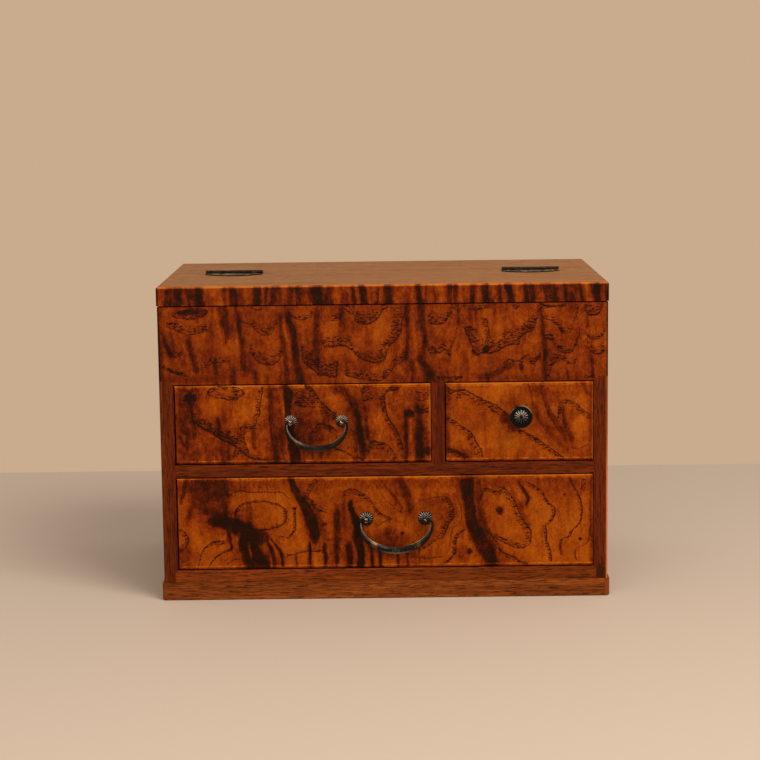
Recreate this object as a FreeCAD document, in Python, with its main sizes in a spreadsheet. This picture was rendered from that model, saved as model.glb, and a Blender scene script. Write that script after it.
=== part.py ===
# Sewing box: a case on a plinth, three drawers, a compartment under a half lid, drop handles and a knob.
# Millimetres. +X is the box's right seen from the front, +Y its back, +Z up.
# The origin is the middle of the whole object's footprint, on the surface that it stands on.
import FreeCAD, Part
import math
import os
import re

import Sketcher

V = FreeCAD.Vector
TINY = 1e-4

SIZES = {
    # Plinth
    "plinth_height": 14.4,
    "plinth_thickness": 12,
    "plinth_projection": 1.6,
    "plinth_lip": 4,
    "plinth_corner": 3,
    "plinth_arris": 0.8,
    # Case
    "case_width": 360,
    "case_depth": 216.5,
    "side_thickness": 11.5,
    "side_lip": 2.5,
    "case_corner": 2,
    "frame_depth": 10,
    "bottom_rail_height": 10.2,
    "lower_opening": 76.7,
    "middle_rail_height": 9.9,
    "upper_opening": 65.6,
    "front_panel_height": 62.6,
    "front_panel_reveal": 0.8,
    "rail_nib": 2.2,
    "stile_mitre": 3.2,
    "divider_width": 10.6,
    "divider_offset": 43.5,
    "divider_foot": 2.2,
    "divider_housing": 2,
    "bottom_board_thickness": 7,
    "shelf_thickness": 7,
    "floor_thickness": 6,
    "board_housing": 4,
    "back_thickness": 8,
    "back_housing": 6,
    # Lid
    "lid_thickness": 15.2,
    "lid_gap": 0.3,
    "lid_front_overhang": 1,
    "lid_side_overhang": 0.5,
    "lid_back_overhang": 0.5,
    "lid_split": 0.8,
    "lid_edging": 3,
    "lid_corner": 2.2,
    "lid_round": 2,
    # Drawers
    "drawer_front_thickness": 12,
    "drawer_lip": 5,
    "drawer_side_thickness": 7,
    "drawer_back_thickness": 7,
    "drawer_bottom_thickness": 5,
    "drawer_side_gap": 0.5,
    "drawer_under_gap": 0.3,
    "drawer_top_gap": 1.1,
    "drawer_back_gap": 0.3,
    "drawer_wall_drop": 2,
    "drawer_arris": 0.8,
    "peg_width": 2,
    "peg_depth": 5,
    "peg_margin": 9,
    "lower_pegs": 3,
    "upper_pegs": 2,
    # Hinges
    "hinge_length": 48.2,
    "hinge_inset": 54.6,
    "knuckle_radius": 1.4,
    "knuckle_gap": 0.2,
    "knuckle_lift": 0.3,
    "leaf_thickness": 0.9,
    "leaf_reach": 20,
    "leaf_end_reach": 8,
    "leaf_clearance": 0.3,
    "hinge_pin_radius": 0.6,
    "hinge_pin_fit": 0.04,
    "nail_head_radius": 1.7,
    "nail_head_height": 0.5,
    "nail_head_sides": 8,
    "nail_shank_width": 1.5,
    "nail_length": 9,
    "nail_fit": 0.02,
    "nail_spacing": 19.5,
    "nail_row": 9,
    # Split pins of the handles and the knob
    "pin_shank_width": 2.1,
    "pin_shank_fit": 0.03,
    "pin_leg_width": 2.6,
    "pin_leg_length": 7,
    "pin_leg_thickness": 1.1,
    "pin_eye_radius": 2.75,
    "pin_eye_width": 2.4,
    "pin_standoff": 5.6,
    # Drop handles
    "bail_tip_radius": 1.05,
    "bail_tip_fit": 0.08,
    "bail_tip_overrun": 1.2,
    "bail_tip_shoulder": 0.5,
    "flute_slope": 0.38,
    "flute_half_angle": 40,
    "flute_rise": 0.2,
    "rosette_petals": 16,
    "lower_handle_offset": 8.6,
    "lower_handle_rise": 3.3,
    "lower_pin_spacing": 47.4,
    "lower_bail_width": 61,
    "lower_bail_drop": 28.5,
    "lower_bail_hook": 4.2,
    "lower_bail_middle": 6.1,
    "lower_bail_depth": 4.4,
    "lower_bail_end": 2.7,
    "lower_rosette_radius": 5.75,
    "lower_rosette_thickness": 1.9,
    "upper_handle_offset": 10.9,
    "upper_handle_rise": 2.65,
    "upper_pin_spacing": 41.2,
    "upper_bail_width": 51.2,
    "upper_bail_drop": 24.4,
    "upper_bail_hook": 3.8,
    "upper_bail_middle": 5.3,
    "upper_bail_depth": 3.8,
    "upper_bail_end": 2.5,
    "upper_rosette_radius": 5.1,
    "upper_rosette_thickness": 1.65,
    # Knob
    "knob_offset": 0.7,
    "knob_rise": 6.4,
    "knob_projection": 15,
    "knob_radius": 9.2,
    "knob_rim": 0.7,
    "knob_head_depth": 3.6,
    "knob_dish": 1.8,
    "knob_neck_radius": 3.4,
    "knob_flare": 1.8,
    "knob_foot_radius": 5.2,
    "knob_foot_thickness": 1.2,
    "flower_petals": 14,
    "flower_radius": 5.6,
    "flower_rise": 0.8,
}

# Places that several pieces share, worked out from the sizes
PLACES = {
    "front": "(knob_projection - case_depth - lid_back_overhang) / 2",
    "back": "front + case_depth",
    "frame_back": "front + frame_depth",
    "back_face": "back - back_thickness",
    "outer_side": "case_width / 2",
    "inner_side": "outer_side - side_thickness",
    "plinth_side": "outer_side + plinth_projection",
    "plinth_front": "front - plinth_projection",
    "lower_base": "plinth_height + bottom_rail_height",
    "lower_top": "lower_base + lower_opening",
    "upper_base": "lower_top + middle_rail_height",
    "upper_top": "upper_base + upper_opening",
    "case_top": "upper_top + front_panel_height + front_panel_reveal",
    "stile_height": "upper_top - plinth_height",
    "divider_left": "divider_offset - divider_width / 2",
    "divider_right": "divider_offset + divider_width / 2",
    "lid_side": "outer_side + lid_side_overhang",
    "lid_front": "front - lid_front_overhang",
    "lid_back": "back + lid_back_overhang",
    "lid_base": "case_top + lid_gap",
    "lid_top": "lid_base + lid_thickness",
    "hinge_line": "(lid_front + lid_back) / 2",
    "hinge_offset": "outer_side - hinge_inset",
    "hinge_height": "lid_top + knuckle_lift + knuckle_radius",
    "knuckle_length": "(hinge_length - 2 * knuckle_gap) / 3",
    "leaf_setback": "knuckle_radius + leaf_clearance",
    "drawer_back": "back_face - drawer_back_gap",
    "pin_line": "front - pin_standoff",
    "eye_hole_radius": "bail_tip_radius + bail_tip_fit",
    "knob_rim_line": "knob_projection - flower_rise",
    "flower_thickness": "flower_rise + knob_dish",
}

doc = FreeCAD.newDocument("SewingBox")
sheet = doc.addObject("Spreadsheet::Sheet", "Sizes")
for row, (alias, size) in enumerate(SIZES.items(), 1):
    sheet.set(f"A{row}", alias)
    sheet.set(f"B{row}", str(size))
    sheet.setAlias(f"B{row}", alias)
doc.recompute()

nodes = []


# Formulas and simple solids
def bound(formula):
    """Turn a formula in the names of sizes and places into an expression on the sheet."""
    def spell(match):
        word = match.group()
        if word in PLACES:
            return f"({bound(PLACES[word])})"
        return f"Sizes.{word}" if word in SIZES else word
    return re.sub(r"[a-z_]+", spell, str(formula))


def value(formula):
    return float(sheet.evalExpression(bound(formula)))


def place(piece, x, y, z):
    for axis, formula in zip("xyz", (x, y, z)):
        piece.setExpression(f"Placement.Base.{axis}", bound(formula))


def node(piece):
    """Note a finished piece, whose label names its file."""
    nodes.append(piece)
    return piece


def box(label, x, y, z):
    """Make a board from its low and high faces along each axis."""
    board = doc.addObject("Part::Box", label)
    for side, (low, high) in zip(("Length", "Width", "Height"), (x, y, z)):
        board.setExpression(side, bound(f"{high} - ({low})"))
    place(board, x[0], y[0], z[0])
    return board


def rod(label, radius, length, x, y, z):
    """Make a cylinder that runs from a point along +X."""
    bar = doc.addObject("Part::Cylinder", label)
    bar.Placement = FreeCAD.Placement(V(), FreeCAD.Rotation(V(0, 1, 0), 90))
    bar.setExpression("Radius", bound(radius))
    bar.setExpression("Height", bound(length))
    place(bar, x, y, z)
    return bar


def fuse(label, pieces):
    whole = doc.addObject("Part::MultiFuse", label)
    whole.Shapes = pieces
    return whole


def group(label, pieces):
    """Keep separate solids together in one object."""
    whole = doc.addObject("Part::Compound", label)
    whole.Links = pieces
    return whole


def cut(label, base, tools):
    rest = doc.addObject("Part::Cut", label)
    rest.Base = base
    rest.Tool = tools[0] if len(tools) == 1 else group(f"{label}_tools", tools)
    return rest


def mirror(label, source, about="0", axis="x"):
    """Mirror a piece across the upright plane that lies at `about` on an axis."""
    twin = doc.addObject("Part::Mirroring", label)
    twin.Source = source
    twin.Normal = V(1, 0, 0) if axis == "x" else V(0, 1, 0)
    twin.setExpression(f"Base.{axis}", bound(about))
    return twin


# Sketched bodies
def origin_feature(body, role):
    return next(feature for feature in body.Origin.OriginFeatures if feature.Role == role)


def new_sketch(body, plane):
    sketch = body.newObject("Sketcher::SketchObject", f"{body.Name}_sketch")
    sketch.AttachmentSupport = [(origin_feature(body, plane), "")]
    sketch.MapMode = "FlatFace"
    return sketch


def pin_point(sketch, curve, end, x, y):
    """Hold one point of a curve at two formulas from the sketch's origin."""
    for kind, formula in (("DistanceX", x), ("DistanceY", y)):
        rule = Sketcher.Constraint(kind, -1, 1, curve, end, value(formula))
        number = sketch.addConstraint(rule)
        sketch.setExpression(f"Constraints[{number}]", bound(formula))


def draw_outline(sketch, points):
    """Draw a closed outline of straight lines through points given as pairs of formulas."""
    corners = [V(value(x), value(y), 0) for x, y in points]
    for start, end in zip(corners, corners[1:] + corners[:1]):
        sketch.addGeometry(Part.LineSegment(start, end))
    for line in range(len(points)):
        following = (line + 1) % len(points)
        sketch.addConstraint(Sketcher.Constraint("Coincident", line, 2, following, 1))
    for line, (x, y) in enumerate(points):
        pin_point(sketch, line, 1, x, y)


def pad(body, sketch, length, backwards=False):
    layer = body.newObject("PartDesign::Pad", f"{body.Name}_pad")
    layer.Profile = sketch
    layer.setExpression("Length", bound(length))
    layer.Reversed = backwards
    return layer


def upright(label, points, depth, x, y, z):
    """Pad an outline in the plane of the front towards the back of the box."""
    body = doc.addObject("PartDesign::Body", label)
    sketch = new_sketch(body, "XZ_Plane")
    draw_outline(sketch, points)
    pad(body, sketch, depth, True)
    place(body, x, y, z)
    return body


def level(label, points, height, x, y, z):
    """Pad an outline seen from above upwards."""
    body = doc.addObject("PartDesign::Body", label)
    sketch = new_sketch(body, "XY_Plane")
    draw_outline(sketch, points)
    pad(body, sketch, height)
    place(body, x, y, z)
    return body


def rectangle(x, y):
    return [(x[0], y[0]), (x[1], y[0]), (x[1], y[1]), (x[0], y[1])]


def ease_edges(body, kind, size, chosen):
    """Fillet or chamfer those edges of a body whose bounding box is chosen."""
    doc.recompute()
    last = body.Tip
    names = [f"Edge{number}" for number, edge in enumerate(last.Shape.Edges, 1) if chosen(edge.BoundBox)]
    eased = body.newObject(f"PartDesign::{kind}", f"{body.Name}_{kind}")
    eased.Base = (last, names)
    eased.setExpression({"Fillet": "Radius", "Chamfer": "Size"}[kind], bound(size))
    body.Tip = eased


def is_vertical(edge):
    return edge.XLength < TINY and edge.YLength < TINY


# Plinth
def plinth_side():
    """Make a side rail whose ends lap over the front and back rails as a thin lip."""
    depth = "(case_depth + plinth_projection)"
    points = [
        ("0", "0"),
        ("plinth_lip", "0"),
        ("plinth_lip", "plinth_thickness"),
        ("plinth_thickness", "plinth_thickness"),
        ("plinth_thickness", f"{depth} - plinth_thickness"),
        ("plinth_lip", f"{depth} - plinth_thickness"),
        ("plinth_lip", depth),
        ("0", depth),
    ]
    rail = level("plinth_left_rail", points, "plinth_height", "-plinth_side", "plinth_front", "0")
    ease_edges(rail, "Fillet", "plinth_corner", lambda edge: is_vertical(edge) and edge.XMax < TINY)
    lip = value("plinth_lip")
    ends = (0, value(depth))

    def is_outer_foot(edge):
        on_end = edge.YLength < TINY and min(abs(edge.YMin - end) for end in ends) < TINY
        on_corner = edge.XLength > TINY and edge.YLength > TINY
        return edge.ZMax < TINY and edge.XMax < lip + TINY and (edge.XMax < TINY or on_end or on_corner)

    ease_edges(rail, "Chamfer", "plinth_arris", is_outer_foot)
    return rail


def plinth_cross_rail(label, low, face):
    """Make a rail between the side rails' lips, with its outer foot edge rounded."""
    half = "(plinth_side - plinth_lip)"
    points = rectangle((f"-{half}", half), ("0", "plinth_thickness"))
    rail = level(label, points, "plinth_height", "0", low, "0")
    line = value(f"{face} - ({low})")
    ease_edges(rail, "Chamfer", "plinth_arris", lambda edge: edge.ZMax < TINY and edge.YLength < TINY
                and abs(edge.YMin - line) < TINY)
    return rail


left_rail = node(plinth_side())
node(mirror("plinth_right_rail", left_rail))
node(plinth_cross_rail("plinth_front_rail", "plinth_front", "plinth_front"))
node(plinth_cross_rail("plinth_back_rail", "back - plinth_thickness", "back"))

# Boards inside the case, which stand in housings of the side panels
board_x = ("-(inner_side + board_housing)", "inner_side + board_housing")
board_y = ("frame_back", "back_face")
divider_panel = node(box("divider_panel", ("divider_left", "divider_right"), board_y,
                         ("upper_base - divider_housing", "upper_top + divider_housing")))
bottom_board = node(box("bottom_board", board_x, board_y,
                        ("lower_base - bottom_board_thickness", "lower_base")))
shelf_blank = box("shelf_blank", board_x, board_y, ("upper_base - shelf_thickness", "upper_base"))
shelf_board = node(cut("shelf_board", shelf_blank, [divider_panel]))
floor_blank = box("floor_blank", board_x, board_y, ("upper_top", "upper_top + floor_thickness"))
compartment_floor = node(cut("compartment_floor", floor_blank, [divider_panel]))
node(box("back_panel", ("-(inner_side + back_housing)", "inner_side + back_housing"), ("back_face", "back"),
         ("plinth_height", "case_top")))


# Side panels, with a thin lip beside the stiles and a rebate for the back
def side_panel():
    rebate = "(side_thickness - back_housing)"
    points = [
        ("0", "0"),
        ("side_lip", "0"),
        ("side_lip", "frame_depth"),
        ("side_thickness", "frame_depth"),
        ("side_thickness", "case_depth - back_thickness"),
        (rebate, "case_depth - back_thickness"),
        (rebate, "case_depth"),
        ("0", "case_depth"),
    ]
    blank = level("side_blank", points, "case_top - plinth_height", "-outer_side", "front", "plinth_height")
    ease_edges(blank, "Fillet", "case_corner", lambda edge: is_vertical(edge) and edge.XMax < TINY)
    notch = box("side_notch", ("-outer_side", "-inner_side"), ("front", "frame_back"),
                ("upper_top + stile_mitre", "case_top"))
    return cut("left_side_panel", blank, [notch, bottom_board, shelf_board, compartment_floor])


left_side_panel = node(side_panel())
node(mirror("right_side_panel", left_side_panel))


# Front frame: stiles, rails, the divider's stile and the panel of the top compartment
def left_stile():
    outer = "-(outer_side - side_lip)"
    notch = "-(inner_side + rail_nib)"
    mitre = "-(inner_side + stile_mitre)"
    points = [
        (outer, "0"),
        (notch, "0"),
        (notch, "bottom_rail_height - rail_nib"),
        ("-inner_side", "bottom_rail_height"),
        ("-inner_side", "stile_height"),
        (mitre, "stile_height + stile_mitre"),
        (outer, "stile_height + stile_mitre"),
    ]
    return upright("left_stile", points, "frame_depth", "0", "front", "plinth_height")


def bottom_rail():
    end = "(inner_side + rail_nib)"
    points = [
        (f"-{end}", "0"),
        (end, "0"),
        (end, "bottom_rail_height - rail_nib"),
        ("inner_side", "bottom_rail_height"),
        ("-inner_side", "bottom_rail_height"),
        (f"-{end}", "bottom_rail_height - rail_nib"),
    ]
    return upright("bottom_rail", points, "frame_depth", "0", "front", "plinth_height")


def middle_rail():
    points = [
        ("-inner_side", "0"),
        ("inner_side", "0"),
        ("inner_side", "middle_rail_height"),
        ("divider_right", "middle_rail_height"),
        ("divider_right - divider_foot", "middle_rail_height - divider_foot"),
        ("divider_left + divider_foot", "middle_rail_height - divider_foot"),
        ("divider_left", "middle_rail_height"),
        ("-inner_side", "middle_rail_height"),
    ]
    return upright("middle_rail", points, "frame_depth", "0", "front", "lower_top")


def divider_stile():
    points = [
        ("divider_left + divider_foot", "-divider_foot"),
        ("divider_right - divider_foot", "-divider_foot"),
        ("divider_right", "0"),
        ("divider_right", "upper_opening"),
        ("divider_left", "upper_opening"),
        ("divider_left", "0"),
    ]
    return upright("divider_stile", points, "frame_depth", "0", "front", "upper_base")


def front_panel():
    shoulder = "(inner_side + stile_mitre)"
    points = [
        ("-inner_side", "0"),
        ("inner_side", "0"),
        (shoulder, "stile_mitre"),
        ("outer_side", "stile_mitre"),
        ("outer_side", "front_panel_height"),
        ("-outer_side", "front_panel_height"),
        ("-outer_side", "stile_mitre"),
        (f"-{shoulder}", "stile_mitre"),
    ]
    panel = upright("front_panel", points, "frame_depth", "0", "front", "upper_top")
    side = value("outer_side")
    ease_edges(panel, "Fillet", "case_corner", lambda edge: is_vertical(edge) and edge.YMax < TINY
                and abs(edge.XMin) > side - TINY)
    return panel


stile = node(left_stile())
node(mirror("right_stile", stile))
node(bottom_rail())
node(middle_rail())
node(divider_stile())
node(front_panel())


# Hinges: each rear leaf carries the two outer knuckles, each front leaf the middle one
def leaf_plate(label):
    """Make the front leaf of the left hinge, whose long free edge bows outwards in one arc."""
    body = doc.addObject("PartDesign::Body", label)
    sketch = new_sketch(body, "XY_Plane")
    half = "(hinge_length / 2)"
    corners = [(half, "-leaf_end_reach"), (half, "0"), (f"-{half}", "0"), (f"-{half}", "-leaf_end_reach")]
    spots = [V(value(x), value(y), 0) for x, y in corners]
    for start, end in zip(spots, spots[1:]):
        sketch.addGeometry(Part.LineSegment(start, end))
    bow = sketch.addGeometry(Part.Arc(spots[3], V(0, value("-leaf_reach"), 0), spots[0]))
    for curve in range(bow):
        sketch.addConstraint(Sketcher.Constraint("Coincident", curve, 2, curve + 1, 1))
        pin_point(sketch, curve, 1, *corners[curve])
    sketch.addConstraint(Sketcher.Constraint("Coincident", bow, 2, 0, 1))
    pin_point(sketch, bow, 1, *corners[bow])
    rise = "(leaf_reach - leaf_end_reach)"
    radius = f"({half}^2 + {rise}^2) / (2 * {rise})"
    number = sketch.addConstraint(Sketcher.Constraint("Radius", bow, value(radius)))
    sketch.setExpression(f"Constraints[{number}]", bound(radius))
    pad(body, sketch, "leaf_thickness")
    place(body, "-hinge_offset", "hinge_line", "lid_top")
    return body


def knuckle_span(number):
    """Give the low and high x of one of the three knuckles of the left hinge."""
    start = f"(-hinge_offset - hinge_length / 2 + {number} * (knuckle_length + knuckle_gap))"
    return start, f"({start} + knuckle_length)"


def nail_shank(label, x, y, fit):
    """Make a nail's square shank, or with a fit the tool that cuts its hole."""
    half = f"(nail_shank_width / 2 + {fit})"
    return box(label, (f"{x} - {half}", f"{x} + {half}"), (f"{y} - {half}", f"{y} + {half}"),
               (f"lid_top + leaf_thickness - nail_length - {fit}", "lid_top + leaf_thickness"))


def nail(label, x, y):
    """Make a hand-forged nail with a faceted head, through a leaf and into the board under it."""
    head = doc.addObject("Part::Prism", f"{label}_head")
    head.setExpression("Polygon", bound("nail_head_sides"))
    head.setExpression("Circumradius", bound("nail_head_radius"))
    head.setExpression("Height", bound("nail_head_height"))
    place(head, x, y, "lid_top + leaf_thickness")
    return fuse(label, [head, nail_shank(f"{label}_shank", x, y, "0")])


def hinge_leaf(label, side, own, other):
    """Make a leaf of the left hinge, in front (-1) or behind (1), its nails and the nail holes' tools."""
    plate = leaf_plate(f"{label}_plate")
    if side > 0:
        plate = mirror(f"{label}_turned_plate", plate, "hinge_line", "y")
    low, high = ("-leaf_setback", "0") if side < 0 else ("0", "leaf_setback")
    reliefs = []
    for number in other:
        start, end = knuckle_span(number)
        reliefs.append(box(f"{label}_relief_{number}", (f"{start} - knuckle_gap", f"{end} + knuckle_gap"),
                           (f"hinge_line + {low}", f"hinge_line + {high}"),
                           ("lid_top", "lid_top + leaf_thickness")))
    knuckles = [cut(f"{label}_relieved", plate, reliefs)]
    for number in own:
        start, end = knuckle_span(number)
        knuckles.append(rod(f"{label}_knuckle_{number}", "knuckle_radius", "knuckle_length",
                                 start, "hinge_line", "hinge_height"))
    bore = rod(f"{label}_bore", "hinge_pin_radius + hinge_pin_fit", "hinge_length",
                    "-hinge_offset - hinge_length / 2", "hinge_line", "hinge_height")
    row = f"hinge_line + {side} * nail_row"
    spots = [(f"-hinge_offset + {end} * nail_spacing / 2", row) for end in (-1, 1)]
    holes = [nail_shank(f"{label}_hole_{number}", *spot, "nail_fit") for number, spot in enumerate(spots)]
    nails = [nail(f"{label}_nail_{number}", *spot) for number, spot in enumerate(spots)]
    leaf = cut(label, fuse(f"{label}_blank", knuckles), [bore, *holes])
    return leaf, nails, holes


def both_sides(label, pieces):
    """Group pieces of the left hinge with their twins on the right hinge."""
    twins = [mirror(f"{piece.Label}_twin", piece) for piece in pieces]
    return group(label, [*pieces, *twins])


rear_leaf, rear_nails, rear_holes = hinge_leaf("left_hinge_rear_leaf", 1, (0, 2), (1,))
front_leaf, front_nails, front_holes = hinge_leaf("left_hinge_front_leaf", -1, (1,), (0, 2))
hinge_pin = rod("left_hinge_pin", "hinge_pin_radius", "hinge_length",
                     "-hinge_offset - hinge_length / 2", "hinge_line", "hinge_height")
for piece, twin in ((rear_leaf, "right_hinge_rear_leaf"), (front_leaf, "right_hinge_front_leaf"),
                    (hinge_pin, "right_hinge_pin")):
    node(piece)
    node(mirror(twin, piece))
node(both_sides("rear_leaf_nails", rear_nails))
node(both_sides("front_leaf_nails", front_nails))


# Top: a fixed rear board, and a front flap with an edging along its front
def flap_board():
    depth = "(hinge_line - lid_split / 2 - lid_front - lid_edging)"
    blank = level("flap_blank", rectangle(("-lid_side", "lid_side"), ("0", depth)), "lid_thickness",
                  "0", "lid_front + lid_edging", "lid_base")
    side = value("lid_side")
    top = value("lid_thickness")
    ease_edges(blank, "Fillet", "lid_round", lambda edge: edge.ZMin > top - TINY and edge.XLength < TINY
                and abs(edge.XMin) > side - TINY)
    return cut("lid_flap_board", blank, [both_sides("flap_nail_holes", front_holes)])


def flap_edging():
    edging = level("lid_front_edging", rectangle(("-lid_side", "lid_side"), ("0", "lid_edging")),
                   "lid_thickness", "0", "lid_front", "lid_base")
    ease_edges(edging, "Fillet", "lid_corner", lambda edge: is_vertical(edge) and edge.YMax < TINY)
    top = value("lid_thickness")
    back = value("lid_edging")
    ease_edges(edging, "Fillet", "lid_round", lambda edge: edge.ZMin > top - TINY and edge.YMin < back - TINY)
    return edging


def rear_board():
    height = "(lid_thickness + lid_gap)"
    depth = "(lid_back - hinge_line - lid_split / 2)"
    blank = level("rear_blank", rectangle(("-lid_side", "lid_side"), ("0", depth)), height,
                  "0", "hinge_line + lid_split / 2", "case_top")
    top = value(height)
    ease_edges(blank, "Fillet", "lid_round", lambda edge: edge.ZMin > top - TINY and edge.YMax > TINY)
    return cut("rear_top_board", blank, [both_sides("rear_nail_holes", rear_holes)])


node(flap_board())
node(flap_edging())
node(rear_board())


# Split pins, rosettes and bails of the drop handles
def pin_tail(label, x, z, start):
    """Make the square shank of a split pin and its two legs, bent flat behind the drawer front."""
    inside = "front + drawer_front_thickness"
    shank = box(f"{label}_shank", (f"{x} - pin_shank_width / 2", f"{x} + pin_shank_width / 2"),
                (start, inside), (f"{z} - pin_shank_width / 2", f"{z} + pin_shank_width / 2"))
    legs = box(f"{label}_legs", (f"{x} - pin_leg_width / 2", f"{x} + pin_leg_width / 2"),
               (inside, f"{inside} + pin_leg_thickness"), (f"{z} - pin_leg_length", f"{z} + pin_leg_length"))
    return [shank, legs]


def pin_hole(label, x, z, start):
    """Make the tool that cuts a split pin's hole, back to the inside of the drawer front."""
    half = "(pin_shank_width / 2 + pin_shank_fit)"
    return box(label, (f"{x} - {half}", f"{x} + {half}"), (start, "front + drawer_front_thickness"),
               (f"{z} - {half}", f"{z} + {half}"))


def eye_pin(label, x, z):
    """Make a split pin with an eye that stands off the drawer front."""
    edge = f"{x} - pin_eye_width / 2"
    eye = rod(f"{label}_eye", "pin_eye_radius", "pin_eye_width", edge, "pin_line", z)
    hole = rod(f"{label}_eye_hole", "eye_hole_radius", "pin_eye_width", edge, "pin_line", z)
    solid = fuse(f"{label}_blank", [eye, *pin_tail(label, x, z, "pin_line")])
    return cut(label, solid, [hole])


def flower(label, petals, radius, thickness, x, y, z):
    """Make a round flower whose petals are ridges between V grooves that deepen outwards."""
    body = doc.addObject("PartDesign::Body", label)
    disc = new_sketch(body, "XZ_Plane")
    disc.addGeometry(Part.Circle(V(), V(0, 0, 1), value(radius)))
    disc.addConstraint(Sketcher.Constraint("Coincident", 0, 3, -1, 1))
    number = disc.addConstraint(Sketcher.Constraint("Radius", 0, value(radius)))
    disc.setExpression(f"Constraints[{number}]", bound(radius))
    pad(body, disc, thickness)
    groove = new_sketch(body, "YZ_Plane")
    apex = f"(-flute_rise - {thickness})"
    mouth = f"({apex} - 2 * {radius} * flute_slope)"
    half = f"(2 * {radius} * flute_slope * tan(flute_half_angle))"
    draw_outline(groove, [(apex, "0"), (mouth, half), (mouth, f"-{half}")])
    flute = body.newObject("PartDesign::Pocket", f"{body.Name}_flute")
    flute.Profile = groove
    flute.UseCustomVector = True
    flute.AlongSketchNormal = False
    flute.Direction = V(1, value("flute_slope"), 0)
    flute.setExpression("Length", bound(f"2 * {radius}"))
    doc.recompute()
    plain = math.pi * value(radius) ** 2 * value(thickness)
    if not 0 < flute.Shape.Volume < plain:
        raise RuntimeError(f"{label}: the flute cuts nothing")
    ring = body.newObject("PartDesign::PolarPattern", f"{body.Name}_ring")
    ring.Originals = [flute]
    ring.Axis = (origin_feature(body, "Y_Axis"), [""])
    ring.Angle = 360
    ring.setExpression("Occurrences", bound(petals))
    body.Tip = ring
    place(body, x, y, z)
    return body


def bail_stations(size):
    """List a bail's sections from its left tip to its right one: place, direction, half sizes."""
    spacing = value(f"{size}_pin_spacing / 2")
    eye = value("pin_eye_width / 2")
    inner = spacing - eye - value("bail_tip_overrun")
    outer = spacing + eye + value("bail_tip_shoulder")
    end = value(f"{size}_bail_end / 2")
    middle = value(f"{size}_bail_middle / 2")
    depth = value(f"{size}_bail_depth / 2")
    bow_x = value(f"{size}_bail_width / 2") - end
    hook_z = value(f"{size}_bail_hook")
    bow_z = value(f"{size}_bail_drop") - hook_z - middle
    tip = value("bail_tip_radius")
    right = [(inner, 0, -1, 0, tip, tip), (outer, 0, -1, 0, tip, tip)]
    hook_steps = 3
    for step in range(1, hook_steps):
        turn = math.pi / 2 * step / hook_steps
        grown = tip + (end - tip) * math.sin(turn)
        right.append((outer + (bow_x - outer) * math.sin(turn), -hook_z * (1 - math.cos(turn)),
                      -(bow_x - outer) * math.cos(turn), hook_z * math.sin(turn), grown, grown))
    bow_steps = 6
    for step in range(bow_steps):
        turn = math.pi / 2 * step / bow_steps
        swell = math.sin(turn)
        right.append((bow_x * math.cos(turn), -hook_z - bow_z * math.sin(turn),
                      bow_x * math.sin(turn), bow_z * math.cos(turn),
                      end + (middle - end) * swell, end + (depth - end) * swell))
    left = [(-x, z, along, -rise, wide, deep) for x, z, along, rise, wide, deep in right]
    return left + [(0, -hook_z - bow_z, 1, 0, middle, depth)] + right[::-1]


def bail(label, size, x, z):
    """Loft a drop handle through eight-sided sections, thick in the middle and thin at the eyes."""
    sides = 8
    sections = []
    for along, up, dx, dz, wide, deep in bail_stations(size):
        size_of_step = math.hypot(dx, dz)
        across = V(-dz / size_of_step, 0, dx / size_of_step)
        corners = []
        for number in range(sides):
            turn = 2 * math.pi * (number + 0.5) / sides
            rim = across * (wide * math.cos(turn)) + V(0, deep * math.sin(turn), 0)
            corners.append(V(along, 0, up) + rim)
        sections.append(Part.makePolygon(corners + corners[:1]))
    handle = doc.addObject("Part::Feature", label)
    handle.Shape = Part.makeLoft(sections, True, True)
    place(handle, x, "pin_line", z)
    return handle


def drop_handle(size, name, x, z):
    """Make a drop handle and return the tools that cut its holes through the drawer front."""
    pin_x = f"({x} - {size}_pin_spacing / 2)"
    face = f"front - {size}_rosette_thickness"
    hole = pin_hole(f"{name}_hole", pin_x, z, face)
    petals = flower(f"{name}_flower", "rosette_petals", f"{size}_rosette_radius", f"{size}_rosette_thickness",
                    pin_x, "front", z)
    rosette = node(cut(f"{name}_left_rosette", petals, [hole]))
    post = node(eye_pin(f"{name}_left_post", pin_x, z))
    node(mirror(f"{name}_right_rosette", rosette, x))
    node(mirror(f"{name}_right_post", post, x))
    node(bail(f"{name}_bail", size, x, z))
    return [hole, mirror(f"{name}_hole_twin", hole, x)]


# Knob: a turned neck and a dished head, held by a flower-headed split pin
def knob(x, z, hole):
    floor = "-(knob_rim_line - knob_dish)"
    back = "-(knob_rim_line - knob_head_depth)"
    points = [
        ("0", "0"),
        ("knob_foot_radius", "0"),
        ("knob_foot_radius", "-knob_foot_thickness"),
        ("knob_neck_radius", "-knob_foot_thickness"),
        ("knob_neck_radius", f"{back} + knob_flare"),
        ("knob_radius", back),
        ("knob_radius", "-knob_rim_line"),
        ("knob_radius - knob_rim", "-knob_rim_line"),
        ("knob_radius - knob_rim", floor),
        ("0", floor),
    ]
    body = doc.addObject("PartDesign::Body", "knob_blank")
    sketch = new_sketch(body, "XY_Plane")
    draw_outline(sketch, points)
    turned = body.newObject("PartDesign::Revolution", "knob_turned")
    turned.Profile = sketch
    turned.ReferenceAxis = (origin_feature(body, "Y_Axis"), [""])
    turned.Angle = 360
    place(body, x, "front", z)
    return cut("drawer_knob", body, [hole])


def flower_pin(x, z):
    seat = "front - knob_rim_line + knob_dish"
    head = flower("flower_head", "flower_petals", "flower_radius", "flower_thickness", x, seat, z)
    return fuse("knob_flower_pin", [head, *pin_tail("knob_flower_pin", x, z, seat)])


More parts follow.
